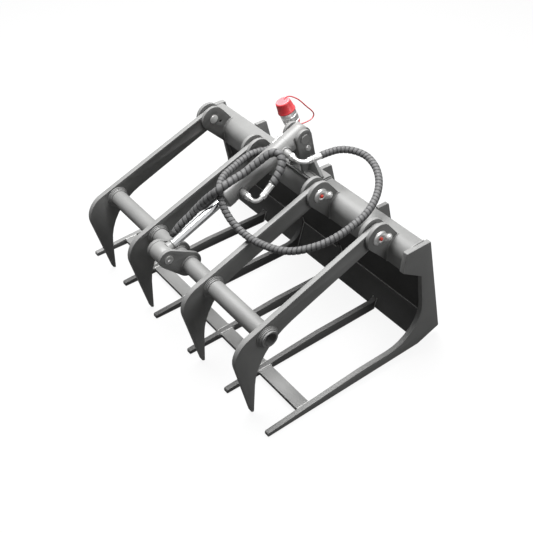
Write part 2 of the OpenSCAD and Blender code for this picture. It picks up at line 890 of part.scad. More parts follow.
// Route of the straight-lying hose, from the gland elbow over the barrel
run_route = concat([placed(elbow_x, gland_exit)], [
    [94, -9, 487], [90, 7, 502], [82, 19, 516], [71, 26, 527], [58, 26, 534],
    [45, 18, 533], [35, 5, 525], [28, -12, 512], [22, -35, 498], [19, -62, 486],
    [20, -92, 481], [22, -122, 476], [17, -150, 463], [-4, -170, 434], [-25, -186, 402],
    [-40, -207, 371], [-50, -231, 347], [-57, -251, 322]]);

function unit(v) = v / norm(v);
function heading_at(route, i) =
    unit(route[min(i + 1, len(route) - 1)] - route[max(i - 1, 0)]);

// A tube along a route, with a ring of points square to it at each point
module swept(route, r, sides) {
    n = len(route);
    rings = [for (i = [0 : n - 1])
        let (t = heading_at(route, i), side = unit(cross(t, [0, 0, 1])), up = cross(side, t))
        for (k = [0 : sides - 1])
            route[i] + r * (cos(360 * k / sides) * side + sin(360 * k / sides) * up)];
    walls = [for (i = [0 : n - 2], k = [0 : sides - 1])
        let (a = i * sides + k, b = i * sides + (k + 1) % sides)
        each [[a, b, b + sides], [a, b + sides, a + sides]]];
    polyhedron(rings, concat(walls, [[for (k = [0 : sides - 1]) sides - 1 - k]],
        [[for (k = [0 : sides - 1]) (n - 1) * sides + k]]), convexity = 8);
}

module hose_loop() {
    color("black") swept(loop_route, loop_hose_r, 10);
}

module hose_run() {
    color("black") swept(run_route, run_hose_r, 10);
}

// Coupler at the end of the looped hose, with its elbow, cap and strap
loop_lift = 30.5;
coupler_lift = 120;
coupler_bend_r = 18;
coupler_pipe = 73.8;
coupler_r = 24;
coupler_tip_r = 14;
coupler_nut_r = 15;
coupler_body_l = 45;
cap_r = 25.5;
cap_top_r = 22;
cap_l = 35;
coupler_bend_at = loop_end + coupler_pipe * heading(loop_lift)
    + coupler_bend_r * heading(loop_lift + 90);
coupler_foot = coupler_bend_at + coupler_bend_r * heading(coupler_lift - 90);

module hose_ferrules() {
    color("silver") {
        aim(elbow_x, base_ferrule, base_elbow_lift) ferrule();
        aim(elbow_x, gland_ferrule, gland_elbow_lift) ferrule();
        aim(coupler_x, loop_end, loop_lift) ferrule();
    }
}

module ferrule() {
    cylinder(h = ferrule_l, r = ferrule_r);
}

module coupler_elbow() {
    color("silver")
        aim(coupler_x, loop_end, loop_lift) {
            translate([0, 0, ferrule_l]) cylinder(h = swivel_t, r = 10, $fn = 6);
            translate([0, 0, ferrule_l + swivel_t])
                cylinder(h = coupler_pipe - ferrule_l - swivel_t, r = elbow_pipe_r + 1);
            translate([0, -coupler_bend_r, coupler_pipe])
                rotate([90, 0, 90])
                    rotate_extrude(angle = coupler_lift - loop_lift)
                        translate([coupler_bend_r, 0]) circle(r = elbow_pipe_r + 1);
        }
}

module coupler() {
    color("silver")
        aim(coupler_x, coupler_foot, coupler_lift) {
            cylinder(h = 12, r = coupler_nut_r, $fn = 6);
            translate([0, 0, 12]) cylinder(h = 3, r = 12);
            translate([0, 0, 15]) cylinder(h = coupler_body_l - 15, r = coupler_r);
            translate([0, 0, coupler_body_l]) cylinder(h = 22, r = coupler_tip_r);
        }
}

module coupler_cap() {
    color("crimson")
        aim(coupler_x, coupler_foot + coupler_body_l * heading(coupler_lift), coupler_lift)
            difference() {
                union() {
                    cylinder(h = 6, r = cap_r);
                    translate([0, 0, 6]) cylinder(h = cap_l - 9, r1 = cap_r, r2 = cap_top_r);
                    translate([0, 0, cap_l - 3]) cylinder(h = 3, r1 = cap_top_r, r2 = cap_top_r - 3);
                }
                translate([0, 0, -1]) cylinder(h = 24, r = coupler_tip_r + slip_fit);
            }
}

// Strap from the side of the cap to a ring on the foot of the coupler
strap_ring_t = 4;
strap_route = [
    [-58, 155, 602], [-58, 176, 604], [-58, 200, 596], [-58, 224, 578], [-58, 243, 552],
    [-58, 248, 531], [-58, 236, 519], [-58, 212, 519], [-58, 192, 529], [-58, 179, 544]];

module cap_strap() {
    color("crimson") {
        swept(strap_route, 1.8, 8);
        aim(coupler_x, coupler_foot, coupler_lift)
            difference() {
                cylinder(h = strap_ring_t, r = coupler_nut_r + 3);
                translate([0, 0, -1]) cylinder(h = strap_ring_t + 2, r = coupler_nut_r + slip_fit);
            }
    }
}

// Rubber plug on the end of the straight-lying hose
module hose_plug() {
    n = len(run_route);
    tip = run_route[n - 1];
    t = unit(tip - run_route[n - 2]);
    color("black")
        translate(tip)
            rotate([0, acos(t[2]), atan2(t[1], t[0])]) {
                cylinder(h = 13, r = run_hose_r + 1.5);
                translate([0, 0, 13]) cylinder(h = 4, r1 = run_hose_r + 1.5, r2 = run_hose_r - 3);
            }
}

side_plate_left();
side_plate_right();
main_tine_left();
main_tine_right();
short_tine_left();
short_tine_right();
back_plate();
toe_plate();
top_beam();
tie_bar_1();
tie_bar_2();
tie_bar_3();
tie_bar_4();
tie_bar_5();
arm_ears_1();
arm_ears_2();
arm_ears_3();
arm_ears_4();
bracket_saddle();
bracket_ear_left();
bracket_ear_right();
bracket_gussets();
hook_plate_left();
hook_plate_right();
middle_ribs();
arm_pins();
pin_keeper_bolts();
grease_nipples();
arm_1();
arm_2();
arm_3();
arm_4();
arm_bushes();
cross_tube();
tube_collars();
clevis_left();
clevis_right();
rod_pin_ends();
base_pin();
base_pin_clips();
barrel();
base_eye_bush();
gland();
wiper_seal();
piston_rod();
rod_eye();
piston();
piston_seals();
rod_eye_bush();
rod_pin_core();
port_elbows();
hose_ferrules();
hose_loop();
hose_run();
coupler_elbow();
coupler();
coupler_cap();
cap_strap();
hose_plug();
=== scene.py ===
import logging
import math
from dataclasses import dataclass
from enum import Enum
from functools import partial

import bmesh
import bpy
from mathutils import Matrix, Vector


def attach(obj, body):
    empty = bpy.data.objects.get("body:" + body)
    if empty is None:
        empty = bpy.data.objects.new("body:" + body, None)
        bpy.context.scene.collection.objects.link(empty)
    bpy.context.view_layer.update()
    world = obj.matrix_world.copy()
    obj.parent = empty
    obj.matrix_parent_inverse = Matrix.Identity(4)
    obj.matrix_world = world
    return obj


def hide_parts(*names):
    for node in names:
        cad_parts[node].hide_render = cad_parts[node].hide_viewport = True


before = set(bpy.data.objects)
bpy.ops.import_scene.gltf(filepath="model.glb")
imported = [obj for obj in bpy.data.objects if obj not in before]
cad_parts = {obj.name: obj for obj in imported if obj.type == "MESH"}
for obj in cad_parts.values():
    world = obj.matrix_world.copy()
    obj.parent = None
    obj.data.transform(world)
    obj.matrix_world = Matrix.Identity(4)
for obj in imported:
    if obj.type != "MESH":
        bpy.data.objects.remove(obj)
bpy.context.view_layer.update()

logging.basicConfig(level=logging.INFO, format="%(name)s: %(message)s")
LOG = logging.getLogger("grapple")

MM = 0.001
MERGE_M = 0.00002
WHITE = (1.0, 1.0, 1.0, 1.0)

Triple = tuple[float, float, float]
Colour = Triple
Material = bpy.types.Material
Piece = bpy.types.Object
Route = list[Vector]
Shape = bmesh.types.BMesh
Socket = bpy.types.NodeSocket
Sockets = bpy.types.bpy_prop_collection
Tree = bpy.types.NodeTree
Value = Socket | float


class Body(Enum):
    """The moving bodies that a piece can ride on."""

    FRAME = "frame"
    JAW = "jaw"
    CYLINDER = "cylinder"
    ROD = "rod"


class Slot(Enum):
    """The record's material slots, handed along with the redrawn pieces."""

    FRAME_PAINT = "frame_paint"
    CYLINDER_PAINT = "cylinder_paint"
    ZINC = "zinc"
    HOSE = "hose"
    SEAL = "seal"
    RED_CAP = "red_cap"
    NIPPLE = "nipple"


class FarEnd(Enum):
    """What a hose's far end ends in."""

    FITTING = "fitting"
    PLUG = "plug"


# The same places as in the part's source, in millimetres: X, Y, Z.
BASE_PIN = Vector((0.0, 141.0, 525.0))
ROD_PIN = Vector((0.0, -330.0, 320.0))
ARM_PIVOT = Vector((0.0, 96.0, 422.0))
TUBE_AXIS = Vector((0.0, -265.0, 270.0))
ARM_X = (-378.5, -141.0, 141.0, 378.5)
SIDE_AXIS = Vector((1.0, 0.0, 0.0))
CYLINDER_AXIS = (ROD_PIN - BASE_PIN).normalized()
CYLINDER_UP = SIDE_AXIS.cross(CYLINDER_AXIS)
# The two ports: distance from the base pin, and heading of the hose's end.
PORTS = ((66.0, 0.0), (236.0, 40.0))
LOOP_END = Vector((-58, 96, 471))
LOOP_END_HEADING = 30.5
COUPLER_FOOT = Vector((-58.0, 166.04, 532.97))
COUPLER_WAY = Vector((-0.21, -0.336, 0.917)).normalized()


def heading(angle: float) -> Vector:
    """Unit vector in the Y-Z plane at an angle in degrees from +Y towards +Z."""
    return Vector((0.0, math.cos(math.radians(angle)), math.sin(math.radians(angle))))


def on_cylinder(along: float, side: float = 0.0) -> Vector:
    """Point on the cylinder's axis at a distance from the base pin, shifted to the right."""
    return BASE_PIN + CYLINDER_AXIS * along + SIDE_AXIS * side


def mm(*triples: Triple) -> Route:
    """Points in millimetres as vectors."""
    return [Vector(t) for t in triples]


def turns(count: int) -> list[float]:
    """Evenly spaced angles round a circle, in radians."""
    return [2 * math.pi * k / count for k in range(count)]


def closed(points: Route) -> Route:
    """A route that ends where it starts."""
    return points + [points[0].copy()]


def linked(name: str, data: bpy.types.ID) -> Piece:
    """Makes an object of its data and links it to the scene.

    Args:
        name: name of the object.
        data: its mesh, camera or lamp.

    Returns:
        The new object.
    """
    made = bpy.data.objects.new(name, data)
    bpy.context.scene.collection.objects.link(made)
    return made


def riding(name: str, mesh: bpy.types.Mesh, body: Body) -> Piece:
    """Makes a piece of a mesh that rides on a body.

    Args:
        name: name of the piece.
        mesh: its mesh, in metres.
        body: the body that it moves with.

    Returns:
        The new piece.
    """
    piece = linked(name, mesh)
    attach(piece, body.value)
    LOG.info("%s: %d faces on %s", name, len(mesh.polygons), body.value)
    return piece


def applied(maker: Piece) -> bpy.types.Mesh:
    """A new mesh of an object with its modifiers applied."""
    graph = bpy.context.evaluated_depsgraph_get()
    return bpy.data.meshes.new_from_object(maker.evaluated_get(graph), depsgraph=graph)


@dataclass
class Ring:
    """One ring of a turned shape: its place along the axis and its radius.

    flats and across cut it to a polygon, and dents and dent press hollows into it.
    """

    z: float
    r: float
    flats: int = 0
    across: float = 0.0
    dents: int = 0
    dent: float = 0.0

    def radius(self, turn: float) -> float:
        """Radius of the ring at an angle.

        Args:
            turn: the angle, in radians.

        Returns:
            The radius there, in millimetres.
        """
        r = self.r
        if self.flats:
            step = 2 * math.pi / self.flats
            r = min(r, self.across / 2 / math.cos(turn % step - step / 2))
        if self.dents:
            r -= self.dent * (0.5 + 0.5 * math.cos(self.dents * turn)) ** 2
        return r


class MeshKit:
    """Builds plain meshes in the part's frame and dresses them."""

    @staticmethod
    def scaled(bm: Shape, factor: float) -> None:
        """Scales a bmesh about the frame's origin."""
        bmesh.ops.scale(bm, vec=(factor,) * 3, verts=bm.verts)

    @staticmethod
    def written(bm: Shape, name: str) -> bpy.types.Mesh:
        """Writes a bmesh to a new mesh and frees it.

        Args:
            bm: the bmesh.
            name: name of the mesh.

        Returns:
            The new mesh.
        """
        mesh = bpy.data.meshes.new(name)
        bm.to_mesh(mesh)
        bm.free()
        return mesh

    @staticmethod
    def node_shape(node: str) -> Shape:
        """Copies a node of the CAD frame, in metres, and merges its doubled points.

        Args:
            node: the node's name.

        Returns:
            The new bmesh.
        """
        bm = bmesh.new()
        bm.from_mesh(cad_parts[node].data)
        bmesh.ops.remove_doubles(bm, verts=bm.verts, dist=MERGE_M)
        return bm

    @staticmethod
    def finish(bm: Shape, name: str, material: Material, body: Body, slot: Slot,
               smooth: float = 32.0, stands_for: str | None = None) -> Piece:
        """Turns a bmesh in millimetres into a piece that rides on a body.

        Args:
            bm: the shape, in millimetres; it is freed.
            name: name of the piece.
            material: its finish.
            body: the body that it moves with.
            slot: the record's material slot; not used.
            smooth: edges sharper than this many degrees stay sharp.
            stands_for: the CAD node that it replaces, if it replaces one.

        Returns:
            The new object.
        """
        MeshKit.scaled(bm, MM)
        bmesh.ops.recalc_face_normals(bm, faces=bm.faces)
        limit = math.radians(smooth)
        for face in bm.faces:
            face.smooth = True
        for edge in bm.edges:
            edge.smooth = len(edge.link_faces) == 2 and edge.calc_face_angle(0.0) < limit
        mesh = MeshKit.written(bm, name)
        mesh.materials.append(material)
        piece = riding(name, mesh, body)
        if stands_for:
            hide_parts(stands_for)
        return piece

    @staticmethod
    def skin(bm: Shape, loops: list[list[bmesh.types.BMVert]], round_again: bool = False) -> None:
        """Joins rings of points with faces.

        Args:
            bm: the bmesh that the points are in.
            loops: the rings, each with the same number of points.
            round_again: joins the last ring to the first; without it both ends are capped.
        """
        for low, high in zip(loops, loops[1:] + (loops[:1] if round_again else [])):
            for k, point in enumerate(low):
                n = (k + 1) % len(low)
                bm.faces.new((point, low[n], high[n], high[k]))
        if not round_again:
            bm.faces.new(list(reversed(loops[0])))
            bm.faces.new(loops[-1])

    @staticmethod
    def turned(bm: Shape, at: Vector, axis: Vector, rings: list[Ring], sides: int = 48,
               spin: float = 0.0, round_again: bool = False) -> None:
        """Adds a turned solid to a bmesh.

        Args:
            bm: the bmesh to add to.
            at: place of the shape's zero, in millimetres.
            axis: direction of its axis.
            rings: its rings, from one end to the other.
            sides: number of points round it.
            spin: turn about the axis, in degrees.
            round_again: joins the last ring to the first, as in a bush.
        """
        turn = axis.to_track_quat("Z", "Y").to_matrix()
        loops = []
        for ring in rings:
            loop = []
            for a in turns(sides):
                r, b = ring.radius(a), a + math.radians(spin)
                spot = Vector((r * math.cos(b), r * math.sin(b), ring.z))
                loop.append(bm.verts.new(at + turn @ spot))
            loops.append(loop)
        MeshKit.skin(bm, loops, round_again)

    @staticmethod
    def tube(bm: Shape, route: Route, radius: float, sides: int = 20, squash: float = 1.0) -> None:
        """Adds a round or flattened tube along a route.

        Args:
            bm: the bmesh to add to.
            route: points of its middle line, in millimetres.
            radius: its radius.
            sides: points round it.
            squash: height over width.
        """
        side = None
        loops = []
        for i, point in enumerate(route):
            ahead = (route[min(i + 1, len(route) - 1)] - route[max(i - 1, 0)]).normalized()
            if side is None:
                side = ahead.cross(Vector((0.3, 0.2, 1.0))).normalized()
            side = (side - ahead * side.dot(ahead)).normalized()
            up = ahead.cross(side)
            loops.append([
                bm.verts.new(point + radius * (math.cos(a) * side + squash * math.sin(a) * up))
                for a in turns(sides)])
        MeshKit.skin(bm, loops)

    @staticmethod
    def smooth_route(points: Route, steps: int = 6) -> Route:
        """Draws a smooth curve through points.

        Args:
            points: the points that it goes through.
            steps: steps between two of them.

        Returns:
            The points of the curve.
        """
        out = []
        last = len(points) - 1
        for i in range(last):
            p0 = points[max(i - 1, 0)] if i else points[0] * 2 - points[1]
            p1, p2 = points[i], points[i + 1]
            p3 = points[i + 2] if i + 2 <= last else points[last] * 2 - points[last - 1]
            for k in range(steps):
                t = k / steps
                out.append(0.5 * ((2 * p1) + (p2 - p0) * t
                                  + (2 * p0 - 5 * p1 + 4 * p2 - p3) * t * t
                                  + (3 * p1 - p0 - 3 * p2 + p3) * t ** 3))
        out.append(points[-1].copy())
        return out

    @staticmethod
    def length(route: Route) -> float:
        """Length of a route."""
        return sum((b - a).length for a, b in zip(route, route[1:]))


# Node tools, for shaders and for geometry.


def put(tree: Tree, socket: Socket, value: object) -> None:
    """Links another socket to an input, or sets a plain value on it.

    Args:
        tree: the tree.
        socket: the input.
        value: the socket to link from, or the plain value.
    """
    if isinstance(value, bpy.types.NodeSocket):
        tree.links.new(value, socket)
    else:
        socket.default_value = value


def add_node(tree: Tree, kind: str, values: dict | None = None,
             **settings: object) -> bpy.types.Node:
    """Adds a node to a tree.

    Args:
        tree: the tree.
        kind: type of the node.
        values: for inputs by label or number, a socket to link from or a plain value.
        settings: the node's own properties.

    Returns:
        The new node.
    """
    node = tree.nodes.new(kind)
    for key, value in settings.items():
        setattr(node, key, value)
    for label, value in (values or {}).items():
        put(tree, node.inputs[label], value)
    return node


def math_node(tree: Tree, kind: str, a: Value, b: Value | None = None, c: Value | None = None,
              clamp: bool = False) -> Socket:
    """Adds a math node; each of a, b and c is a socket or a number. Returns its output."""
    values = {i: value for i, value in enumerate((a, b, c)) if value is not None}
    return add_node(tree, "ShaderNodeMath", values, operation=kind, use_clamp=clamp).outputs[0]


def mix_colours(tree: Tree, factor: Socket, colour: Socket | tuple, other: tuple) -> Socket:
    """Mixes a colour, a socket or plain RGBA, towards a plain one by a mask."""
    values = {0: factor, 6: colour, 7: other}
    return add_node(tree, "ShaderNodeMix", values, data_type="RGBA").outputs[2]


def noise_node(tree: Tree, scale: Value, detail: float = 3.0, stretch: Triple | None = None,
               rough: float = 0.5) -> Socket:
    """Adds a noise texture on Object coordinates.

    Args:
        tree: the tree.
        scale: its scale.
        detail: its detail.
        stretch: scale along each axis, for brushed lines.
        rough: its roughness.

    Returns:
        Its Fac output.
    """
    vector = add_node(tree, "ShaderNodeTexCoord").outputs["Object"]
    if stretch is not None:
        vector = add_node(tree, "ShaderNodeMapping",
                          {"Scale": stretch, "Vector": vector}).outputs["Vector"]
    values = {"Detail": detail, "Roughness": rough, "Scale": scale, "Vector": vector}
    return add_node(tree, "ShaderNodeTexNoise", values).outputs["Fac"]


class ShaderKit:
    """Shader node groups that several finishes share, each built once."""

    BEVEL_SAMPLES = 6
    EDGE_GAIN = 9.0
    SPECK_LIFT = 0.25
    UPWARD_POWER = 3.0

    def __init__(self) -> None:
        """Builds the groups."""
        self.edge = self._edge_wear_and_highlight()
        self.grain = self._grain()
        self.dust = self._dust()

    @staticmethod
    def _group(name: str, inputs: dict[str, float],
               outputs: tuple[str, ...]) -> tuple[Tree, Sockets, Sockets]:
        """Makes an empty group with named numbers.

        Args:
            name: name of the group.
            inputs: label and default of each input.
            outputs: labels of the outputs; the one called Normal is a vector.

        Returns:
            The group, the sockets that it takes in and the sockets that it gives out.
        """
        group = bpy.data.node_groups.new(name, "ShaderNodeTree")
        add = group.interface.new_socket
        for label, value in inputs.items():
            add(name=label, in_out="INPUT", socket_type="NodeSocketFloat").default_value = value
        for label in outputs:
            kind = "NodeSocketVector" if label == "Normal" else "NodeSocketFloat"
            add(name=label, in_out="OUTPUT", socket_type=kind)
        source = add_node(group, "NodeGroupInput")
        sink = add_node(group, "NodeGroupOutput")
        return group, source.outputs, sink.inputs

    def _edge_wear_and_highlight(self) -> Tree:
        """Mask of the outer edges, broken up by noise, which pales them as wear and as a painted
        highlight, and a normal that rounds them.

        Returns:
            The group.
        """
        group, source, sink = self._group("edge wear and highlight", {"Radius": 0.0015, "Scale": 60.0},
                                          ("Mask", "Normal"))
        calc = partial(math_node, group)
        bevel = add_node(group, "ShaderNodeBevel", {"Radius": source["Radius"]},
                         samples=self.BEVEL_SAMPLES)
        plain = add_node(group, "ShaderNodeNewGeometry")
        dot = add_node(group, "ShaderNodeVectorMath",
                       {0: bevel.outputs[0], 1: plain.outputs["Normal"]}, operation="DOT_PRODUCT")
        bend = calc("SUBTRACT", 1.0, dot.outputs["Value"], clamp=True)
        speck = noise_node(group, source["Scale"], 4.0)
        grown = calc("MULTIPLY", bend, self.EDGE_GAIN, clamp=True)
        broken = calc("MULTIPLY", grown, calc("ADD", speck, self.SPECK_LIFT), clamp=True)
        put(group, sink["Mask"], broken)
        put(group, sink["Normal"], bevel.outputs[0])
        return group

    def _grain(self) -> Tree:
        """Fine peel of a coating, as a height for bump, and soft clouds for its tone.

        Returns:
            The group.
        """
        group, source, sink = self._group("coating grain", {"Peel": 900.0, "Cloud": 9.0},
                                          ("Height", "Cloud"))
        put(group, sink["Height"], noise_node(group, source["Peel"], 2.0))
        put(group, sink["Cloud"], noise_node(group, source["Cloud"], 5.0, rough=0.6))
        return group

    def _dust(self) -> Tree:
        """Mask that pales the faces that look up: settled dust, and a painted sheen of the light
        from above.

        Returns:
            The group.
        """
        group, source, sink = self._group("settled dust", {"Amount": 0.3, "Scale": 30.0},
                                          ("Mask",))
        calc = partial(math_node, group)
        plain = add_node(group, "ShaderNodeNewGeometry")
        parts = add_node(group, "ShaderNodeSeparateXYZ", {0: plain.outputs["Normal"]})
        up = calc("POWER", calc("MAXIMUM", parts.outputs["Z"], 0.0), self.UPWARD_POWER)
        patch = calc("MULTIPLY", up, noise_node(group, source["Scale"], 6.0))
        put(group, sink["Mask"], calc("MULTIPLY", patch, source["Amount"], clamp=True))
        return group


@dataclass(frozen=True)
class Finish:
    """One finish: its looks, and the way that its material is put together."""

    name: str
    colour: Colour
    roughness: float = 0.5
    metallic: float = 0.0
    coat: float = 0.0
    coat_roughness: float = 0.3
    shine: float = 0.5
    # The edge colour pales the outer edges: wear, and a painted highlight where light catches
    # them.
    edge_colour: Colour = (0.4, 0.4, 0.4)
    edge_amount: float = 0.0
    edge_radius: float = 0.0015
    peel: float = 900.0
    peel_depth: float = 0.05
    cloud: float = 9.0
    cloud_amount: float = 0.12
    # Paling of the faces that look up: settled dust, and a painted sheen of the light from above.
    dust: float = 0.0
    dust_colour: Colour = (0.42, 0.41, 0.39)
    stretch: Triple | None = None
    # Darkening the hollows between the ridges, with groove_shade, is painted shade.
    groove: bool = False
    groove_shade: float = 0.03
    bump_height: float = 0.001

    LEAST_SPREAD = 0.02
    CLOUD_RANGE = (0.3, 0.7)
    BRUSH_SCALE = 0.4
    BRUSH_SHARE = 0.8
    BRUSH_ROUGHNESS = 0.1

    def build(self, kit: ShaderKit) -> Material:
        """Makes the material.

        Args:
            kit: the shared shader groups.

        Returns:
            The new material.
        """
        material = bpy.data.materials.new(self.name)
        material.use_nodes = True
        tree = material.node_tree
        calc = partial(math_node, tree)
        grain = add_node(tree, "ShaderNodeGroup", {"Peel": self.peel, "Cloud": self.cloud},
                         node_tree=kit.grain).outputs
        edge = add_node(tree, "ShaderNodeGroup", {"Radius": self.edge_radius},
                        node_tree=kit.edge).outputs
        rough = calc("MULTIPLY_ADD", grain["Cloud"], self.cloud_amount,
                     self.roughness - self.cloud_amount / 2)
        height = grain["Height"]
        if self.stretch is not None:
            lines = noise_node(tree, self.peel * self.BRUSH_SCALE, 3.0, self.stretch)
            height = calc("MULTIPLY_ADD", lines, self.BRUSH_SHARE,
                          calc("MULTIPLY", height, 1.0 - self.BRUSH_SHARE))
            rough = calc("MULTIPLY_ADD", lines, self.BRUSH_ROUGHNESS, rough)
        bump = add_node(tree, "ShaderNodeBump", {
            "Strength": self.peel_depth, "Distance": self.bump_height, "Height": height,
            "Normal": edge["Normal"]})
        looks = {
            "Metallic": self.metallic, "Coat Weight": self.coat,
            "Coat Roughness": self.coat_roughness, "Specular IOR Level": self.shine,
            "Base Color": self._tone(tree, kit, grain["Cloud"], edge["Mask"]),
            "Roughness": rough, "Normal": bump.outputs["Normal"]}
        shader = tree.nodes["Principled BSDF"]
        for label, value in looks.items():
            put(tree, shader.inputs[label], value)
        return material

    def _tone(self, tree: Tree, kit: ShaderKit, cloud: Socket, edge: Socket) -> Socket:
        """Mixes soft clouds, paler edges for wear and a painted highlight, paler upward faces for
        dust and a painted sheen, and painted shade in the grooves, where the finish has them.

        Args:
            tree: the material's tree.
            kit: the shared shader groups.
            cloud: mask of the soft clouds.
            edge: mask of the outer edges.

        Returns:
            The colour, as a socket.
        """
        calc = partial(math_node, tree)
        ramp = add_node(tree, "ShaderNodeValToRGB", {"Fac": cloud})
        spread = 0.5 * self.cloud_amount + self.LEAST_SPREAD
        for element, factor, place in zip(ramp.color_ramp.elements, (1 - spread, 1 + spread),
                                          self.CLOUD_RANGE):
            element.position = place
            element.color = (*(min(1.0, factor * c) for c in self.colour), 1.0)
        tone = ramp.outputs["Color"]
        # Paler edges: wear and a painted highlight.
        if self.edge_amount:
            mask = calc("MULTIPLY", edge, self.edge_amount, clamp=True)
            tone = mix_colours(tree, mask, tone, (*self.edge_colour, 1.0))
        # Paler upward faces: dust and a painted sheen.
        if self.dust:
            dust = add_node(tree, "ShaderNodeGroup", {"Amount": self.dust}, node_tree=kit.dust)
            tone = mix_colours(tree, dust.outputs["Mask"], tone, (*self.dust_colour, 1.0))
        # Painted shade in the hollows between the guard's ridges.
        if self.groove:
            ridge = add_node(tree, "ShaderNodeAttribute", attribute_name="ridge").outputs["Fac"]
            dark = (*(self.groove_shade * c for c in self.colour), 1.0)
            tone = mix_colours(tree, calc("SUBTRACT", 1.0, ridge, clamp=True), tone, dark)
        return tone


class Wardrobe:
    """Every finish of the grapple, made once."""

    def __init__(self) -> None:
        """Builds the shared groups and the materials."""
        self.kit = ShaderKit()
        self.paint = self._add(
            "charcoal coat", (0.235, 0.236, 0.233), roughness=0.50, coat=0.04, shine=0.32,
            edge_colour=(0.52, 0.52, 0.515), edge_amount=0.8, edge_radius=0.0013,
            peel=330.0, peel_depth=0.32, cloud=7.0, cloud_amount=0.16, dust=0.10)
        # The frame's coat made darker, with less shine, for the tines and the toe plate: painted
        # shade low between the parts.
        self.low_shaded_paint = self._add(
            "charcoal coat in low painted shade", (0.14, 0.14, 0.139), shine=0.25,
            edge_colour=(0.44, 0.44, 0.435), edge_amount=0.7, edge_radius=0.0013,
            peel=330.0, peel_depth=0.32, cloud=7.0, cloud_amount=0.16, dust=0.10)
        # The frame's coat made darker, with less shine, for the back plate's inner face: painted
        # shade.
        self.inner_shaded_paint = self._add(
            "charcoal coat in painted shade", (0.07, 0.07, 0.069), shine=0.16,
            edge_colour=(0.44, 0.44, 0.435), edge_amount=0.6, edge_radius=0.0012,
            peel=700.0, peel_depth=0.10, cloud=7.0, cloud_amount=0.16, dust=0.08)
        self.cylinder_paint = self._add(
            "barrel coat", (0.27, 0.27, 0.266), roughness=0.38, coat=0.12, shine=0.4,
            edge_colour=(0.46, 0.46, 0.45), edge_amount=0.5, edge_radius=0.0010,
            peel=800.0, peel_depth=0.07, cloud=10.0, cloud_amount=0.10, dust=0.05)
        self.bead = self._add(
            "painted weld", (0.27, 0.27, 0.267), roughness=0.38, coat=0.2,
            edge_colour=(0.52, 0.52, 0.51), edge_amount=0.6, edge_radius=0.0008,
            peel=500.0, peel_depth=0.25, cloud=60.0, cloud_amount=0.2)
        # Pale, speckled welds for the crease and the tines: a painted highlight of glints on the
        # bead ripples.
        self.glinting_bead = self._add(
            "weld with painted glints", (0.62, 0.62, 0.61), roughness=0.34, coat=0.2,
            edge_colour=(0.8, 0.8, 0.79), edge_amount=0.6, edge_radius=0.0008,
            peel=500.0, peel_depth=0.25, cloud=120.0, cloud_amount=0.5)
        self.zinc = self._add(
            "bright zinc", (0.90, 0.90, 0.89), roughness=0.36, metallic=1.0,
            edge_colour=(0.95, 0.95, 0.94), edge_amount=0.4, edge_radius=0.0006,
            peel=1400.0, peel_depth=0.06, cloud=40.0, cloud_amount=0.16)
        self.chrome = self._add(
            "hard chrome", (0.86, 0.87, 0.88), roughness=0.10, metallic=1.0,
            peel=1500.0, peel_depth=0.02, cloud=20.0, cloud_amount=0.05,
            edge_radius=0.0005, stretch=(6.0, 1.0, 1.0))
        self.dull_steel = self._add(
            "machined steel", (0.42, 0.42, 0.43), roughness=0.34, metallic=1.0,
            edge_colour=(0.7, 0.7, 0.7), edge_amount=0.4, edge_radius=0.0006,
            peel=1200.0, peel_depth=0.10, cloud=30.0, cloud_amount=0.14)
        self.bronze = self._add(
            "bush bronze", (0.55, 0.40, 0.20), roughness=0.34, metallic=1.0,
            edge_colour=(0.8, 0.65, 0.4), edge_amount=0.4, edge_radius=0.0006,
            peel=1200.0, peel_depth=0.08, cloud=30.0, cloud_amount=0.14)
        self.guard = self._add(
            "spiral guard", (0.145, 0.145, 0.147), roughness=0.46, shine=0.16,
            edge_colour=(0.26, 0.26, 0.26), edge_amount=0.3, edge_radius=0.0006,
            peel=1200.0, peel_depth=0.12, cloud=50.0, cloud_amount=0.16, dust=0.10, groove=True)
        self.rubber = self._add(
            "seal rubber", (0.016, 0.016, 0.016), roughness=0.55,
            edge_colour=(0.06, 0.06, 0.06), edge_amount=0.3, edge_radius=0.0005,
            peel=1500.0, peel_depth=0.12, cloud=60.0, cloud_amount=0.12)
        # The cap's pale pink top is a painted sheen, laid on through the upward mask.
        self.red = self._add(
            "red cap plastic", (0.80, 0.045, 0.055), roughness=0.32, coat=0.3,
            edge_colour=(0.95, 0.30, 0.32), edge_amount=0.35, edge_radius=0.0010,
            peel=900.0, peel_depth=0.08, cloud=50.0, cloud_amount=0.08,
            dust=1.0, dust_colour=(0.95, 0.42, 0.46))
        self.nipple = self._add(
            "red nipple cap", (0.85, 0.06, 0.035), roughness=0.30, coat=0.3,
            edge_colour=(0.95, 0.3, 0.25), edge_amount=0.3, edge_radius=0.0005,
            peel=1300.0, peel_depth=0.05, cloud=80.0, cloud_amount=0.08)

    def _add(self, name: str, colour: Colour, **looks: object) -> Material:
        """Builds one finish from its name, its colour and its other looks."""
        LOG.info("finish %s", name)
        return Finish(name, colour, **looks).build(self.kit)

    def dress_plain_nodes(self) -> None:
        """Gives the small machined nodes, whose CAD meshes stay in view, their finishes."""
        finishes = {
            self.zinc: ("base_pin_clips", "rod_pin_core", "rod_pin_ends"),
            self.cylinder_paint: ("gland", "base_pin"),
            self.dull_steel: ("piston",),
            self.chrome: ("piston_rod",),
            self.bronze: ("arm_bushes", "base_eye_bush", "rod_eye_bush"),
            self.rubber: ("wiper_seal", "piston_seals"),
        }
        for material, nodes in finishes.items():
            for name in nodes:
                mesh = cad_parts[name].data
                mesh.materials.clear()
                mesh.materials.append(material)


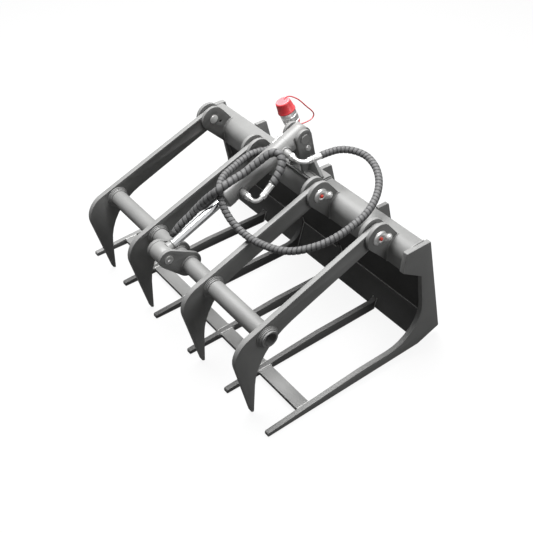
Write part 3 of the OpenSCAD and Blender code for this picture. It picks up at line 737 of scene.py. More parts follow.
@dataclass
class PhotoCamera:
    """The camera at the photograph's own place."""

    place: Triple = (1.4935, -1.1263, 1.7170)
    azimuth: float = 52.20
    elevation: float = 40.84
    roll: float = 0.30
    lens: float = 53.58
    sensor: float = 36.0

    def build(self) -> None:
        """Adds the camera and makes it the scene's own."""
        a, e, r = (math.radians(v) for v in (self.azimuth, self.elevation, self.roll))
        ahead = -Vector((math.sin(a) * math.cos(e), -math.cos(a) * math.cos(e), math.sin(e)))
        level = ahead.cross(Vector((0, 0, 1))).normalized()
        upright = level.cross(ahead)
        right = math.cos(r) * level + math.sin(r) * upright
        up = -math.sin(r) * level + math.cos(r) * upright
        data = bpy.data.cameras.new("photo_camera")
        data.sensor_width = self.sensor
        data.lens = self.lens
        camera = linked("photo_camera", data)
        columns = [(*v, 0.0) for v in (right, up, -ahead)] + [(*self.place, 1.0)]
        camera.matrix_world = Matrix(columns).transposed()
        bpy.context.scene.camera = camera


@dataclass(frozen=True)
class Lamp:
    """A soft rectangular lamp: its name, place, aim, size and power."""

    name: str
    place: Triple
    aim: Triple
    width: float
    height: float
    power: float

    def build(self) -> None:
        """Adds the lamp to the scene."""
        data = bpy.data.lights.new(self.name, "AREA")
        data.shape = "RECTANGLE"
        data.size = self.width
        data.size_y = self.height
        data.energy = self.power
        lamp = linked(self.name, data)
        lamp.location = self.place
        way = Vector(self.aim) - Vector(self.place)
        lamp.rotation_euler = way.to_track_quat("-Z", "Y").to_euler()


@dataclass
class Studio:
    """A pale floor in white surroundings, lit from overhead, from one side and in front."""

    floor_reach: float = 14.0
    floor_z: float = -0.0005
    floor_tone: float = 0.93
    floor_bounce: float = 0.07
    floor_glow: float = 0.90
    floor_in_gloss: float = 0.12
    world_fill: float = 0.07
    world_in_gloss: float = 0.62
    lamps: tuple[Lamp, ...] = (
        Lamp("overhead", (-0.6, 0.1, 3.0), (0.0, 0.0, 0.3), 2.4, 1.8, 195.0),
        Lamp("side", (2.0, 0.6, 1.3), (0.0, 0.0, 0.4), 0.9, 0.9, 9.5),
        Lamp("front_fill", (2.3, -2.6, 1.6), (0.0, 0.0, 0.2), 2.2, 1.6, 1.5))

    def build(self) -> None:
        """Adds the floor, the world and the lamps."""
        scene = bpy.context.scene
        scene.view_settings.view_transform = "Standard"
        self._floor()
        self._world(scene)
        for lamp in self.lamps:
            lamp.build()

    def _floor(self) -> None:
        """Adds the floor: white to the eye, pale in reflections and dark as a bounce."""
        corners = [(self.floor_reach * x, self.floor_reach * y, self.floor_z)
                   for x, y in ((-1, -1), (1, -1), (1, 1), (-1, 1))]
        mesh = bpy.data.meshes.new("studio_floor")
        mesh.from_pydata(corners, [], [(0, 1, 2, 3)])
        material = bpy.data.materials.new("studio floor")
        material.use_nodes = True
        tree = material.node_tree
        calc = partial(math_node, tree)
        path = add_node(tree, "ShaderNodeLightPath").outputs
        tint = mix_colours(tree, path["Is Camera Ray"], (*(self.floor_bounce,) * 3, 1),
                           (*(self.floor_tone,) * 3, 1))
        shader = tree.nodes["Principled BSDF"]
        for label, value in {"Roughness": 0.9, "Specular IOR Level": 0.0,
                             "Base Color": tint}.items():
            put(tree, shader.inputs[label], value)
        glow = add_node(tree, "ShaderNodeEmission", {"Color": WHITE, "Strength": 1.0})
        seen = calc("MULTIPLY", path["Is Camera Ray"], self.floor_glow)
        glossy = calc("MULTIPLY", path["Is Glossy Ray"], self.floor_in_gloss)
        mix = add_node(tree, "ShaderNodeMixShader", {
            0: calc("MAXIMUM", seen, glossy), 1: shader.outputs[0], 2: glow.outputs[0]})
        put(tree, tree.nodes["Material Output"].inputs["Surface"], mix.outputs[0])
        mesh.materials.append(material)
        linked("studio_floor", mesh)

    def _world(self, scene: bpy.types.Scene) -> None:
        """Makes the world white to the camera and softer as a light.

        Args:
            scene: the scene that gets it.
        """
        scene.world = bpy.data.worlds.new("studio world")
        scene.world.use_nodes = True
        tree = scene.world.node_tree
        calc = partial(math_node, tree)
        path = add_node(tree, "ShaderNodeLightPath").outputs
        seen = calc("MAXIMUM", path["Is Camera Ray"],
                    calc("MULTIPLY", path["Is Glossy Ray"], self.world_in_gloss))
        back = tree.nodes["Background"]
        put(tree, back.inputs["Color"], WHITE)
        put(tree, back.inputs["Strength"],
            calc("MULTIPLY_ADD", seen, 1.0 - self.world_fill, self.world_fill))


class RidgedSweep:
    """Geometry Nodes tree that sweeps a ridged tube along lines.

    It makes the spiral guards of the hoses and the weld beads.
    """

    INPUTS = (
        ("Lines", "Geometry", None), ("Radius", "Float", 0.005), ("Pitch", "Float", 0.007),
        ("Ridge", "Float", 0.001), ("Slant", "Float", 1.0), ("Sharpness", "Float", 3.0),
        ("Wobble", "Float", 0.0), ("Wobble Scale", "Float", 120.0), ("Step", "Float", 0.001),
        ("Sides", "Int", 12), ("Seed", "Int", 1), ("Finish", "Material", None))
    SAME_PLACE = 0.01

    def __init__(self) -> None:
        """Builds the tree."""
        self.tree = bpy.data.node_groups.new("ridged sweep", "GeometryNodeTree")
        add = self.tree.interface.new_socket
        for label, kind, value in self.INPUTS:
            socket = add(name=label, in_out="INPUT", socket_type="NodeSocket" + kind)
            if value is not None:
                socket.default_value = value
        add(name="Mesh", in_out="OUTPUT", socket_type="NodeSocketGeometry")
        self._wire()

    def _capture(self, curve: Socket, label: str, measure: str) -> tuple[Socket, Socket]:
        """Keeps a measure of a curve on its points.

        Args:
            curve: the curve.
            label: name of the kept number.
            measure: the output of Spline Parameter that it comes from.

        Returns:
            The curve and the kept number.
        """
        node = add_node(self.tree, "GeometryNodeCaptureAttribute", domain="POINT")
        node.capture_items.new("FLOAT", label)
        along = add_node(self.tree, "GeometryNodeSplineParameter")
        put(self.tree, node.inputs["Geometry"], curve)
        put(self.tree, node.inputs[label], along.outputs[measure])
        return node.outputs["Geometry"], node.outputs[label]

    def _wire(self) -> None:
        """Joins the nodes of the tree."""
        add, calc = partial(add_node, self.tree), partial(math_node, self.tree)
        source = add("NodeGroupInput").outputs
        lines = add("GeometryNodeMeshToCurve", {"Mesh": source["Lines"]})
        even = add("GeometryNodeResampleCurve",
                   {"Curve": lines.outputs["Curve"], "Length": source["Step"]}, mode="LENGTH")
        path, distance = self._capture(even.outputs["Curve"], "distance", "Length")
        circle = add("GeometryNodeCurvePrimitiveCircle",
                     {"Resolution": source["Sides"], "Radius": source["Radius"]})
        profile, turn = self._capture(circle.outputs["Curve"], "turn", "Factor")
        sweep = add("GeometryNodeCurveToMesh",
                    {"Fill Caps": True, "Curve": path, "Profile Curve": profile})
        phase = calc("MULTIPLY_ADD", source["Slant"], turn,
                     calc("DIVIDE", distance, source["Pitch"]))
        valley = calc("ABSOLUTE", calc("SUBTRACT", calc("MULTIPLY", calc("FRACT", phase), 2.0),
                                       1.0))
        ridge = calc("SUBTRACT", 1.0, calc("POWER", valley, source["Sharpness"]))
        noise = add("ShaderNodeTexNoise", {"Scale": source["Wobble Scale"], "W": source["Seed"]},
                    noise_dimensions="4D")
        rough = calc("MULTIPLY", calc("SUBTRACT", noise.outputs["Fac"], 0.5), source["Wobble"])
        outward = add("ShaderNodeVectorMath", {
            0: add("GeometryNodeInputNormal").outputs[0],
            "Scale": calc("MULTIPLY_ADD", ridge, source["Ridge"], rough)}, operation="SCALE")
        moved = add("GeometryNodeSetPosition",
                    {"Geometry": sweep.outputs["Mesh"], "Offset": outward.outputs[0]})
        kept = add("GeometryNodeStoreNamedAttribute",
                   {"Name": "ridge", "Geometry": moved.outputs["Geometry"], "Value": ridge},
                   data_type="FLOAT", domain="POINT")
        smooth = add("GeometryNodeSetShadeSmooth", {"Geometry": kept.outputs["Geometry"]})
        real = add("GeometryNodeRealizeInstances", {"Geometry": smooth.outputs["Geometry"]})
        dress = add("GeometryNodeSetMaterial",
                    {"Geometry": real.outputs["Geometry"], "Material": source["Finish"]})
        add("NodeGroupOutput", {"Mesh": dress.outputs["Geometry"]})

    def sweep(self, name: str, lines: list[Route], finish: Material, body: Body, slot: Slot,
              **sizes: float) -> Piece:
        """Sweeps the tube along lines and returns a plain mesh that rides on a body.

        Args:
            name: name of the piece.
            lines: routes in millimetres; one that ends where it starts is closed.
            finish: its material.
            body: the body that it moves with.
            slot: the record's material slot; not used.
            sizes: values for the tree's inputs, with underscores for spaces, in metres.

        Returns:
            The new object.
        """
        verts, edges = [], []
        for line in lines:
            ends_meet = (line[0] - line[-1]).length < self.SAME_PLACE
            points = line[:-1] if ends_meet else line
            first = len(verts)
            verts.extend(p * MM for p in points)
            edges.extend((first + i, first + i + 1) for i in range(len(points) - 1))
            if ends_meet:
                edges.append((first + len(points) - 1, first))
        guide = bpy.data.meshes.new(name + "_lines")
        guide.from_pydata(verts, edges, [])
        maker = linked(name + "_maker", guide)
        modifier = maker.modifiers.new("sweep", "NODES")
        modifier.node_group = self.tree
        values = {key.replace("_", " ").title(): value for key, value in sizes.items()}
        values["Finish"] = finish
        for item in self.tree.interface.items_tree:
            if item.in_out == "INPUT" and item.name in values:
                modifier[item.identifier] = values[item.name]
        mesh = applied(maker)
        bpy.data.objects.remove(maker)
        bpy.data.meshes.remove(guide)
        mesh.name = name
        return riding(name, mesh, body)


@dataclass(frozen=True)
class Hose:
    """One hose: its names, its route and the sizes of its spiral guard, in millimetres."""

    name: str
    node: str
    radius: float
    pitch: float
    ridge: float
    sides: int
    far_end: FarEnd
    route: Route


LOOPED_HOSE = Hose("looped_hose", "hose_loop", 10.6, 12.6, 1.9, 22, FarEnd.FITTING, mm(
    (95, 148.484, 498.661), (97, 176, 499), (104, 205, 500), (120, 230, 499), (146, 247, 497),
    (179, 252, 495), (223, 240, 490), (262, 216, 481), (294, 182, 471), (318, 141, 462),
    (332, 99, 452), (336, 56, 442), (335, 9, 431), (324, -36, 418), (301, -75, 405),
    (274, -103, 395), (235, -122, 386), (186, -134, 379), (140, -140, 376), (95, -147, 387),
    (62, -150, 405), (33, -148, 428), (5, -136, 448), (-18, -116, 457), (-35, -90, 461),
    (-46, -54, 464), (-55, -15, 470), (-58, 20, 475), (-58, 42, 473), (-58, 62, 469),
    (-58, 80, 467), (-58, 96, 471)))
LOWER_HOSE = Hose("lower_hose", "hose_run", 11.8, 16.5, 2.3, 26, FarEnd.PLUG, mm(
    (95, -23.299, 474.527), (94, -9, 487), (90, 7, 502), (82, 19, 516), (71, 26, 527),
    (58, 26, 534), (45, 18, 533), (35, 5, 525), (28, -12, 512), (22, -35, 498), (19, -62, 486),
    (20, -92, 481), (22, -122, 476), (17, -150, 463), (-4, -170, 434), (-25, -186, 402),
    (-40, -207, 371), (-50, -231, 347), (-57, -251, 322)))


@dataclass
class Hoses:
    """The two hoses in their spiral guards, with crimped ferrules and a plug."""

    sweep: RidgedSweep
    dress: Wardrobe
    ferrule_length: float = 36.0
    sharpness: float = 5.0
    steps_per_ridge: int = 14

    def build(self) -> None:
        base_end, loop_end, gland_end = (
            (Vector((95, 112.484, 498.661)), heading(0.0)),
            (LOOP_END, heading(LOOP_END_HEADING)),
            (Vector((95, -50.877, 451.387)), heading(40.0)))
        ends = self._ferrules("crimped_ferrules", [base_end, loop_end], "hose_ferrules")
        gland = self._ferrules("gland_ferrule", [gland_end])
        plug = self._plug()
        self._hose(LOOPED_HOSE)
        self._hose(LOWER_HOSE)

    def _hose(self, hose: Hose) -> None:
        """Args:
            hose: the hose.
        """
        line = MeshKit.smooth_route(hose.route)
        length = MeshKit.length(line) * MM
        pitch, ridge = hose.pitch * MM, hose.ridge * MM
        piece = self.sweep.sweep(
            hose.name, [line], self.dress.guard, Body.CYLINDER, Slot.HOSE,
            radius=hose.radius * MM - ridge, pitch=pitch, ridge=ridge, slant=1.0,
            sharpness=self.sharpness, step=pitch / self.steps_per_ridge, sides=hose.sides)
        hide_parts(hose.node)
        LOG.info("%s: %.3f m long", hose.name, length)

    def _ferrules(self, name: str, places: list[tuple[Vector, Vector]],
                  stands_for: str | None = None) -> Piece:
        """Crimped ferrules at the given places, each with a collar at its mouth.

        Args:
            name: name of the piece.
            places: foot and direction of each ferrule.
            stands_for: the CAD node that they replace, if they replace one.

        Returns:
            The ferrules as one piece.
        """
        bm = bmesh.new()
        length = self.ferrule_length
        for at, axis in places:
            MeshKit.turned(bm, at, axis, [
                Ring(0, 7.6), Ring(0, 8.6), Ring(0.8, 9.3), Ring(5.0, 9.3), Ring(5.6, 8.4),
                Ring(6.6, 8.4), Ring(7.6, 9.5), Ring(10, 9.5, dents=8, dent=0.9),
                Ring(length - 7, 9.5, dents=8, dent=0.9), Ring(length - 5, 9.5),
                Ring(length - 1.2, 9.5), Ring(length, 8.8), Ring(length, 7.0)], sides=64)
        return MeshKit.finish(bm, name, self.dress.zinc, Body.CYLINDER, Slot.ZINC,
                              stands_for=stands_for)

    def _plug(self) -> Piece:
        """The rubber plug with its grip rings on the end of the lower hose.

        Returns:
            The plug.
        """
        bm = bmesh.new()
        before, tip = LOWER_HOSE.route[-2:]
        rings = [Ring(0, 10.0), Ring(0.6, 12.0)]
        for z in (3.0, 6.0, 9.0):
            rings += [Ring(z - 0.8, 12.5), Ring(z, 11.6), Ring(z + 0.8, 12.5)]
        rings += [Ring(12.4, 12.3), Ring(14.2, 11.2), Ring(16.0, 9.0), Ring(17.0, 6.5),
                  Ring(17.0, 2.0)]
        MeshKit.turned(bm, tip, (tip - before).normalized(), rings, sides=40)
        return MeshKit.finish(bm, "hose_end_plug", self.dress.rubber, Body.CYLINDER, Slot.SEAL, 50,
                              "hose_plug")


@dataclass
class PaintedSteel:
    """The welded plates, each redrawn with its edges broken, and the trimmed barrel."""

    dress: Wardrobe
    edge: float = 1.1
    sharp_degrees: float = 30.0
    smooth_degrees: float = 24.0
    neck_r: float = 28.3
    shoulder: float = 31.5

    def build(self) -> None:
        """Redraws each painted node with small round edges."""
        dress = self.dress
        plates = (
            (dress.paint, Body.FRAME, (
                "side_plate_left", "side_plate_right", "top_beam",
                "tie_bar_1", "tie_bar_2", "tie_bar_3", "tie_bar_4", "tie_bar_5",
                "arm_ears_1", "arm_ears_2", "arm_ears_3", "arm_ears_4",
                "bracket_saddle", "bracket_ear_left", "bracket_ear_right", "bracket_gussets",
                "hook_plate_left", "hook_plate_right", "middle_ribs")),
            # The tines take a darker copy of the coat: painted shade.
            (dress.low_shaded_paint, Body.FRAME, (
                "main_tine_left", "main_tine_right", "short_tine_left", "short_tine_right")),
            # The back plate takes the darker copy of the coat: painted shade.
            (dress.inner_shaded_paint, Body.FRAME, ("back_plate",)),
            # The toe plate takes the same darker copy: painted shade.
            (dress.low_shaded_paint, Body.FRAME, ("toe_plate",)),
            (dress.paint, Body.JAW, (
                "arm_1", "arm_2", "arm_3", "arm_4", "cross_tube", "tube_collars",
                "clevis_left", "clevis_right")))
        for material, body, nodes in plates:
            for node in nodes:
                self._rounded(node, material, body, Slot.FRAME_PAINT)
        self._rounded("rod_eye", dress.cylinder_paint, Body.ROD, Slot.CYLINDER_PAINT)
        self._base_neck()
        self._trimmed_barrel()

    def _rounded(self, node: str, material: Material, body: Body, slot: Slot) -> None:
        """Replaces a node by a copy with its sharp edges broken.

        Args:
            node: the node's name.
            material: its finish.
            body: its body.
            slot: the record's material slot.
        """
        bm = MeshKit.node_shape(node)
        bmesh.ops.dissolve_limit(bm, angle_limit=math.radians(0.5), verts=bm.verts,
                                 edges=bm.edges)
        limit = math.radians(self.sharp_degrees)
        sharp = [e for e in bm.edges
                 if len(e.link_faces) == 2 and e.calc_face_angle(0.0) > limit]
        bmesh.ops.bevel(bm, geom=sharp, offset=self.edge * MM, offset_type="OFFSET", segments=2,
                        profile=0.5, affect="EDGES", clamp_overlap=True)
        MeshKit.scaled(bm, 1 / MM)
        MeshKit.finish(bm, node + "_finished", material, body, slot, self.smooth_degrees, node)

    def _base_neck(self) -> None:
        """The cast neck that runs smoothly from the base eye into the barrel."""
        bm = bmesh.new()
        r = self.neck_r
        loops = []
        for along, flat in ((10, 21.9), (29.6, 21.9), (31, 24.0), (32, r), (46, r),
                            (46.6, r - 0.6)):
            loops.append([bm.verts.new(on_cylinder(along, max(-flat, min(flat, r * math.cos(a))))
                                       + CYLINDER_UP * r * math.sin(a)) for a in turns(72)])
        MeshKit.skin(bm, loops)
        MeshKit.finish(bm, "base_neck", self.dress.cylinder_paint, Body.CYLINDER,
                       Slot.CYLINDER_PAINT, 30)

    def _trimmed_barrel(self) -> None:
        """The barrel with its base eye turned down to the round of the barrel."""
        whole = MeshKit.written(MeshKit.node_shape("barrel"), "barrel_whole")
        cut = bmesh.new()
        MeshKit.turned(cut, BASE_PIN, CYLINDER_AXIS, [
            Ring(-60, self.neck_r), Ring(-60, 70), Ring(self.shoulder, 70),
            Ring(self.shoulder, self.neck_r)], sides=96, round_again=True)
        MeshKit.scaled(cut, MM)
        bmesh.ops.recalc_face_normals(cut, faces=cut.faces)
        ring = MeshKit.written(cut, "barrel_cut")
        maker, cutter = linked("barrel_maker", whole), linked("barrel_cutter", ring)
        trim = maker.modifiers.new("trim", "BOOLEAN")
        trim.operation = "DIFFERENCE"
        trim.solver = "EXACT"
        trim.object = cutter
        mesh = applied(maker)
        done = bmesh.new()
        done.from_mesh(mesh)
        MeshKit.scaled(done, 1 / MM)
        for spare in (maker, cutter):
            bpy.data.objects.remove(spare)
        for spare in (mesh, whole, ring):
            bpy.data.meshes.remove(spare)
        MeshKit.finish(done, "trimmed_barrel", self.dress.cylinder_paint, Body.CYLINDER,
                       Slot.CYLINDER_PAINT, self.smooth_degrees, "barrel")


def rounded_outline(corners: list[Triple], steps: int = 8) -> list[tuple[float, float]]:
    """Rounds the corners of a flat outline.

    Args:
        corners: place and radius of each corner, as (a, b, radius).
        steps: steps round each corner.

    Returns:
        The points of the outline.
    """
    out = []
    count = len(corners)
    for i, (qa, qb, radius) in enumerate(corners):
        q = Vector((qa, qb))
        back = (Vector(corners[i - 1][:2]) - q).normalized()
        ahead = (Vector(corners[(i + 1) % count][:2]) - q).normalized()
        half = math.acos(max(-1.0, min(1.0, back.dot(ahead)))) / 2
        centre = q + (back + ahead).normalized() * radius / math.sin(half)
        start = q + back * radius / math.tan(half) - centre
        stop = q + ahead * radius / math.tan(half) - centre
        first = math.atan2(start.y, start.x)
        turn = (math.atan2(stop.y, stop.x) - first + 3 * math.pi) % (2 * math.pi) - math.pi
        for k in range(steps + 1):
            a = first + turn * k / steps
            out.append((centre.x + radius * math.cos(a), centre.y + radius * math.sin(a)))
    return out


BEAM_OUTLINE = rounded_outline([(200, 402, 5), (128, 402, 38), (140, 316, 12), (226, 306, 12)])


def side_line(x: float, *places: tuple[float, float]) -> Route:
    """A line in the plane at x through (y, z) places."""
    return [Vector((x, y, z)) for y, z in places]


def ring_on_tube(x: float, radius: float) -> Route:
    """A closed ring round the cross tube."""
    return closed([TUBE_AXIS + Vector((x, radius * math.cos(a), radius * math.sin(a)))
                   for a in turns(40)])


@dataclass
class Welds:
    """Weld beads where the plates, tubes and bosses meet."""

    sweep: RidgedSweep
    dress: Wardrobe
    crease: tuple[float, float] = (257.0, 104.0)
    lean: float = 15.9
    seam_x: float = 459.4
    outermost: float = 460.0
    first_tine: float = -467.5
    tine_pitch: float = 187.0
    tine_face: float = 7.9
    toe_foot: tuple[float, float] = (233.0, 10.0)
    toe_rise: tuple[float, float] = (24.0, 94.0)
    bead_pitch: float = 4.2
    bead_step: float = 1.4
    bead_sides: int = 8
    ridge_share: float = 0.25
    wobble_share: float = 0.35
    wobble_scale: float = 90.0

    def build(self) -> None:
        """Lays the beads of each body."""
        painted, bright = self.dress.bead, self.dress.glinting_bead
        plates, barrel = Slot.FRAME_PAINT, Slot.CYLINDER_PAINT
        crease = mm((-459, 256.4, 104), (459, 256.4, 104))
        foot = closed([on_cylinder(474.6) + 13.4 * (math.cos(a) * SIDE_AXIS
                                                    + math.sin(a) * CYLINDER_UP)
                       for a in turns(40)])
        sets = (
            ("frame_beads", self._frame_lines(), Body.FRAME, plates, 2.6, painted),
            # The crease and tine beads are drawn pale: painted glints.
            ("crease_bead", [crease], Body.FRAME, plates, 1.9, bright),
            ("tine_beads", self._tine_lines(), Body.FRAME, plates, 1.8, bright),
            ("jaw_beads", self._jaw_lines(), Body.JAW, plates, 2.4, painted),
            ("cylinder_beads", self._port_lines(), Body.CYLINDER, barrel, 2.0, painted),
            ("rod_bead", [foot], Body.ROD, barrel, 1.6, painted))
        for name, lines, body, slot, radius, finish in sets:
            self.sweep.sweep(
                name, lines, finish, body, slot, radius=radius * MM, pitch=self.bead_pitch * MM,
                ridge=self.ridge_share * radius * MM, slant=0.0, sharpness=2.0,
                wobble=self.wobble_share * radius * MM, wobble_scale=self.wobble_scale,
                step=self.bead_step * MM, sides=self.bead_sides)

    def _wall(self, z: float) -> float:
        """Front face of the back plate at a height."""
        y0, z0 = self.crease
        return y0 - (z - z0) * math.tan(math.radians(self.lean))

    def _toe(self, z: float) -> float:
        """Front face of the toe plate at a height."""
        (y0, z0), (run, rise) = self.toe_foot, self.toe_rise
        return y0 + (z - z0) * run / rise

    def _frame_lines(self) -> list[Route]:
        """Beads of the beam, its ears, the bracket, the wall and the rear plates.

        Returns:
            The lines of the beads.
        """
        lines = []
        # The beam's round front edge, between the upper and the lower end of the ears.
        nose = [(168.0, 402.3), *(p for p in BEAM_OUTLINE if p[0] < 169 and p[1] > 322),
                (137.6, 324.0)]
        behind = (self._wall(300) + 13.0, 300.0)
        rear_plates = ((280.0, ((281.8, 62.0), (270.0, 104.0), behind)),
                       (38.0, ((266.0, 118.0), behind)))
        for side in (-1, 1):
            lines.append(side_line(side * self.seam_x, *BEAM_OUTLINE, BEAM_OUTLINE[0]))
            lines.append(side_line(side * self.seam_x, (self._toe(12), 12), self.crease,
                                   (self._wall(308), 308)))
            for x, places in rear_plates:
                lines += [side_line(side * x + face, *places) for face in (-6.5, 6.5)]
            for face in (22.4, 32.6):
                lines.append(side_line(side * face, (143.0, 410.4), (195.0, 410.4)))
            for y in (161.8, 172.2):
                lines.append(mm((side * 33.0, y, 461.0), (side * 33.0, y, 411.0),
                                (side * 86.0, y, 410.4)))
        for x in ARM_X:
            lines += [side_line(x + face, *nose) for face in (-19.0, 19.0)]
        lines.append(mm((-92, 141.8, 402.6), (92, 141.8, 402.6), (92.2, 198.0, 402.6),
                        (-92.2, 198.0, 402.6), (-92, 141.8, 402.6)))
        return lines

    def _tine_lines(self) -> list[Route]:
        """Beads where the tines meet the toe plate and the tie bar.

        Returns:
            The lines of the beads.
        """
        lines = []
        on_bar = ((-217.5, 20.6), (-176.5, 20.6))
        for k in range(6):
            is_main = k in (2, 3)
            for side in (-1, 1):
                face = self.first_tine + k * self.tine_pitch + side * self.tine_face
                if abs(face) > self.outermost:
                    continue
                lines.append(side_line(face, *on_bar))
                if k in (0, 5):
                    continue
                top = 104.0 if is_main else 42.0
                lines.append(side_line(face, (self._toe(3) - 0.4, 3), (self._toe(top) - 0.4, top)))
                if is_main:
                    lines.append(side_line(face, (256.6, 104.0), (self._wall(126) - 0.4, 126.0)))
        return lines

    @staticmethod
    def _jaw_lines() -> list[Route]:
        """Rings round the cross tube at the arms, collars and clevis plates.

        Returns:
            The lines of the beads.
        """
        tube_r, collar_r = 25.9, 31.4
        lines = []
        for x in ARM_X:
            lines += [ring_on_tube(x + shift, radius)
                      for shift, radius in ((-8.3, tube_r), (14.3, tube_r), (7.8, collar_r))]
        return lines + [ring_on_tube(x, tube_r) for x in (-33.3, -21.7, 21.7, 33.3)]

    @staticmethod
    def _port_lines() -> list[Route]:
        """Rings round the feet of the two port bosses of the barrel.

        Returns:
            The lines of the beads.
        """
        barrel_r, boss_r = 28.2, 16.0
        lines = []
        for along, _ in PORTS:
            points = []
            for a in turns(40):
                rise = boss_r * math.sin(a)
                points.append(on_cylinder(along + boss_r * math.cos(a),
                                          math.sqrt(barrel_r ** 2 - rise ** 2))
                              + CYLINDER_UP * rise)
            lines.append(closed(points))
        return lines


@dataclass
class Pins:
    """The domed heads of the arm pins with their keeper bolts and red nipples."""

    dress: Wardrobe
    reach: float = 18.8
    lobe_r: float = 11.6
    keeper_out: float = 33.0
    keeper_heading: float = -19.0

    def build(self) -> None:
        """Redraws the arm pins, the keeper bolts and the nipples."""
        pins, bolts, caps = bmesh.new(), bmesh.new(), bmesh.new()
        keeper = self.keeper_out * heading(self.keeper_heading)
        reach = self.reach
        head = [Ring(reach + z, r) for z, r in (
            (0.1, 21.4), (0.9, 22.4), (3.2, 22.4), (4.8, 21.6), (6.3, 19.4), (7.4, 16.0),
            (8.0, 12.2), (7.8, 9.4), (6.6, 7.8), (6.0, 6.0), (6.0, 4.2))]
        tail_ring = [Ring(reach + z, r) for z, r in (
            (0.2, 12.4), (0.2, 14.4), (1.8, 14.4), (2.2, 13.9), (2.2, 12.4))]
        for x in ARM_X:
            out = Vector((1.0 if x > 0 else -1.0, 0.0, 0.0))
            at = ARM_PIVOT + Vector((x, 0.0, 0.0))
            face = at + out * (reach + 0.05)
            MeshKit.turned(pins, at, out, [
                Ring(-reach - 3, 11.4), Ring(-reach - 1.8, 12.5), Ring(reach + 0.1, 12.5),
                *head], sides=56)
            MeshKit.turned(pins, at, -out, tail_ring, sides=48, round_again=True)
            self._lobe(pins, face, out, keeper)
            MeshKit.turned(bolts, face + keeper + out * 5.0, out, [
                Ring(-8, 4.0), Ring(0, 4.0), Ring(0, 10.4), Ring(1.4, 10.4), Ring(3.6, 9.3),
                Ring(5.4, 7.0), Ring(6.2, 4.2), Ring(6.3, 2.8, 6, 5.0), Ring(2.6, 2.7, 6, 4.8)],
                sides=48)
            MeshKit.turned(caps, face, out, [
                Ring(2.5, 3.8), Ring(6.2, 3.8), Ring(6.4, 5.2), Ring(8.2, 5.5), Ring(9.8, 5.0),
                Ring(11.0, 3.6), Ring(11.6, 1.6)], sides=32)
        zinc, nipple = self.dress.zinc, self.dress.nipple
        MeshKit.finish(pins, "domed_arm_pins", zinc, Body.FRAME, Slot.ZINC, 40, "arm_pins")
        MeshKit.finish(bolts, "domed_keeper_bolts", zinc, Body.FRAME, Slot.ZINC, 40,
                       "pin_keeper_bolts")
        MeshKit.finish(caps, "red_nipple_caps", nipple, Body.FRAME, Slot.NIPPLE, 40,
                       "grease_nipples")

    def _lobe(self, bm: Shape, face: Vector, out: Vector, keeper: Vector) -> None:
        """Adds the flat lobe of a pin's head that its keeper bolt clamps.

        Args:
            bm: the bmesh to add to.
            face: middle of the face that the lobe lies on.
            out: the way that the face looks.
            keeper: from there to the keeper bolt.
        """
        along = keeper.normalized()
        across = out.cross(along)
        loops = []
        for height, inset in ((0.0, 0.5), (0.5, 0.0), (4.3, 0.0), (5.0, 0.7)):
            r = self.lobe_r - inset
            tip = [(keeper.length + r * math.cos(a), r * math.sin(a))
                   for a in (math.radians(-90 + 15 * k) for k in range(13))]
            loops.append([bm.verts.new(face + out * height + along * u + across * v)
                          for u, v in ((8.0, -r), *tip, (8.0, r))])
        MeshKit.skin(bm, loops)


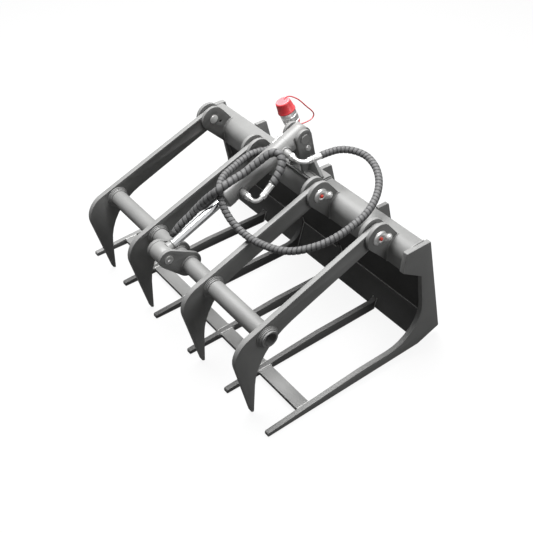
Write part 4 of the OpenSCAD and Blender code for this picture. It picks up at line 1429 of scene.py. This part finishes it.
@dataclass
class Fittings:
    """Port elbows, the elbow of the coupler, the coupler, its cap and its strap."""

    dress: Wardrobe

    def build(self) -> None:
        """Redraws the bright fittings and the red cap."""
        for shape, name, node in ((self._elbows(), "bent_port_elbows", "port_elbows"),
                                  (self._coupler_elbow(), "bent_coupler_elbow", "coupler_elbow"),
                                  (self._coupler(), "grooved_coupler", "coupler")):
            MeshKit.finish(shape, name, self.dress.zinc, Body.CYLINDER, Slot.ZINC, stands_for=node)
        MeshKit.finish(self._cap(), "ribbed_dust_cap", self.dress.red, Body.CYLINDER, Slot.RED_CAP,
                       50, "coupler_cap")
        MeshKit.finish(self._strap(), "moulded_cap_strap", self.dress.red, Body.CYLINDER,
                       Slot.RED_CAP, 60, "cap_strap")

    @staticmethod
    def _hex(bm: Shape, at: Vector, axis: Vector, length: float, radius: float,
             spin: float = 0.0) -> None:
        """Adds a hexagon nut with turned corners.

        Args:
            bm: the bmesh to add to.
            at: middle of its first end.
            axis: direction of its axis.
            length: its length.
            radius: its radius over the corners.
            spin: turn about the axis, in degrees.
        """
        across = radius * math.cos(math.pi / 6) * 2
        corner = 0.08 * radius
        MeshKit.turned(bm, at, axis, [
            Ring(0, 0.80 * radius), Ring(0, 0.87 * radius), Ring(corner, radius, 6, across),
            Ring(length - corner, radius, 6, across), Ring(length, 0.87 * radius),
            Ring(length, 0.60 * radius)], sides=48, spin=spin)

    def _elbows(self) -> Shape:
        """The two bent elbows on the ports of the barrel.

        Returns:
            Its shape, in millimetres.
        """
        bm = bmesh.new()
        straight, bend, pipe_r = 73, 22, 6.2
        for along, lift in PORTS:
            at = on_cylinder(along)
            way = heading(lift)
            self._hex(bm, at + SIDE_AXIS * 48, SIDE_AXIS, 12, 11, spin=12)
            MeshKit.turned(bm, at + SIDE_AXIS * 60, SIDE_AXIS, [
                Ring(0, 7.6), Ring(1.6, 7.6), Ring(2.4, 6.2), Ring(4, 6.0)], sides=32)
            route = [at + SIDE_AXIS * 59.5]
            for k in range(17):
                a = math.radians(90 * k / 16)
                route.append(at + SIDE_AXIS * (straight + bend * math.sin(a))
                             + way * (bend - bend * math.cos(a)))
            mouth = at + SIDE_AXIS * (straight + bend)
            route.append(mouth + way * (bend + 1))
            MeshKit.tube(bm, route, pipe_r, 24)
            self._hex(bm, mouth + way * bend, way, 10, 10, spin=20)
        return bm

    def _coupler_elbow(self) -> Shape:
        """The pipe from the looped hose up to the coupler.

        Returns:
            Its shape, in millimetres.
        """
        bm = bmesh.new()
        bend, pipe_r = 18, 7.0
        way = heading(LOOP_END_HEADING)
        self._hex(bm, LOOP_END + way * 36, way, 10, 10, spin=10)
        turn = LOOP_END + way * 73.8 + bend * heading(120.5)
        route = [LOOP_END + way * 45.5]
        route += [turn + bend * heading(-59.5 + 89.5 * k / 14) for k in range(15)]
        route.append(COUPLER_FOOT + heading(120.0) * 2)
        MeshKit.tube(bm, route, pipe_r, 24)
        return bm

    @staticmethod
    def _coupler() -> Shape:
        """The coupler: nut, neck and a grooved sleeve.

        Returns:
            Its shape, in millimetres.
        """
        bm = bmesh.new()
        MeshKit.turned(bm, COUPLER_FOOT, COUPLER_WAY, [
            Ring(-14, 9), Ring(-14, 19.8), Ring(-13, 20.8), Ring(-2.5, 20.8), Ring(-1.2, 24.0),
            Ring(2, 24.5), Ring(2.8, 23.2), Ring(5.2, 23.2), Ring(6, 24.5), Ring(21, 24.5),
            Ring(21.8, 23.4), Ring(24.2, 23.4), Ring(25, 24.5), Ring(39, 24.5), Ring(40, 23.5),
            Ring(40, 14), Ring(62, 13.8), Ring(63, 13.2)], sides=64)
        return bm

    @staticmethod
    def _cap() -> Shape:
        """The red dust cap with its skirt, ribs and dished top.

        Returns:
            Its shape, in millimetres.
        """
        bm = bmesh.new()
        MeshKit.turned(bm, COUPLER_FOOT, COUPLER_WAY, [
            Ring(35.5, 24.3), Ring(35.5, 26.0), Ring(36.4, 26.7), Ring(39.4, 26.7),
            Ring(40.4, 26.0), Ring(41.6, 25.6, dents=24, dent=0.5),
            Ring(64.0, 22.5, dents=24, dent=0.5), Ring(66.0, 22.1), Ring(68.8, 21.3),
            Ring(70.6, 19.5), Ring(71.0, 18.0), Ring(70.3, 16.4), Ring(70.0, 10.0),
            Ring(70.0, 3.0)], sides=96)
        return bm

    @staticmethod
    def _strap() -> Shape:
        """The strap from the cap to the ring with its tab at the coupler's foot.

        Returns:
            Its shape, in millimetres.
        """
        bm = bmesh.new()
        way, back = COUPLER_WAY, heading(30.0)
        foot = COUPLER_FOOT - way * 9
        route = MeshKit.smooth_route(mm(
            (-75, 150, 601), (-75, 160, 605), (-72, 176, 601), (-66, 198, 586), (-60, 222, 560),
            (-58, 244, 537), (-58, 251, 522), (-58, 242, 511), (-58, 222, 508), (-58, 204, 509),
            (-58, 188, 516), (-58, 176, 528)))
        MeshKit.tube(bm, route, 1.9, 12)
        MeshKit.turned(bm, foot, way, [
            Ring(0.2, 20.6), Ring(0.2, 22.6), Ring(0.9, 23.4), Ring(3.2, 23.4), Ring(4.0, 22.6),
            Ring(4.0, 20.6)], sides=48, round_again=True)
        MeshKit.tube(bm, [foot + way * 2.1 - back * 21, foot + way * 2.1 - back * 26,
                          foot + way * 1.2 - back * 32, foot - back * 38], 3.6, 12, 0.5)
        return bm


def main() -> None:
    """Builds the scene in order and reports each part of it."""
    PhotoCamera().build()
    dress = Wardrobe()
    sweep = RidgedSweep()
    Hoses(sweep, dress).build()
    Studio().build()
    PaintedSteel(dress).build()
    Welds(sweep, dress).build()
    Pins(dress).build()
    Fittings(dress).build()
    dress.dress_plain_nodes()


if __name__ == "__main__":
    main()
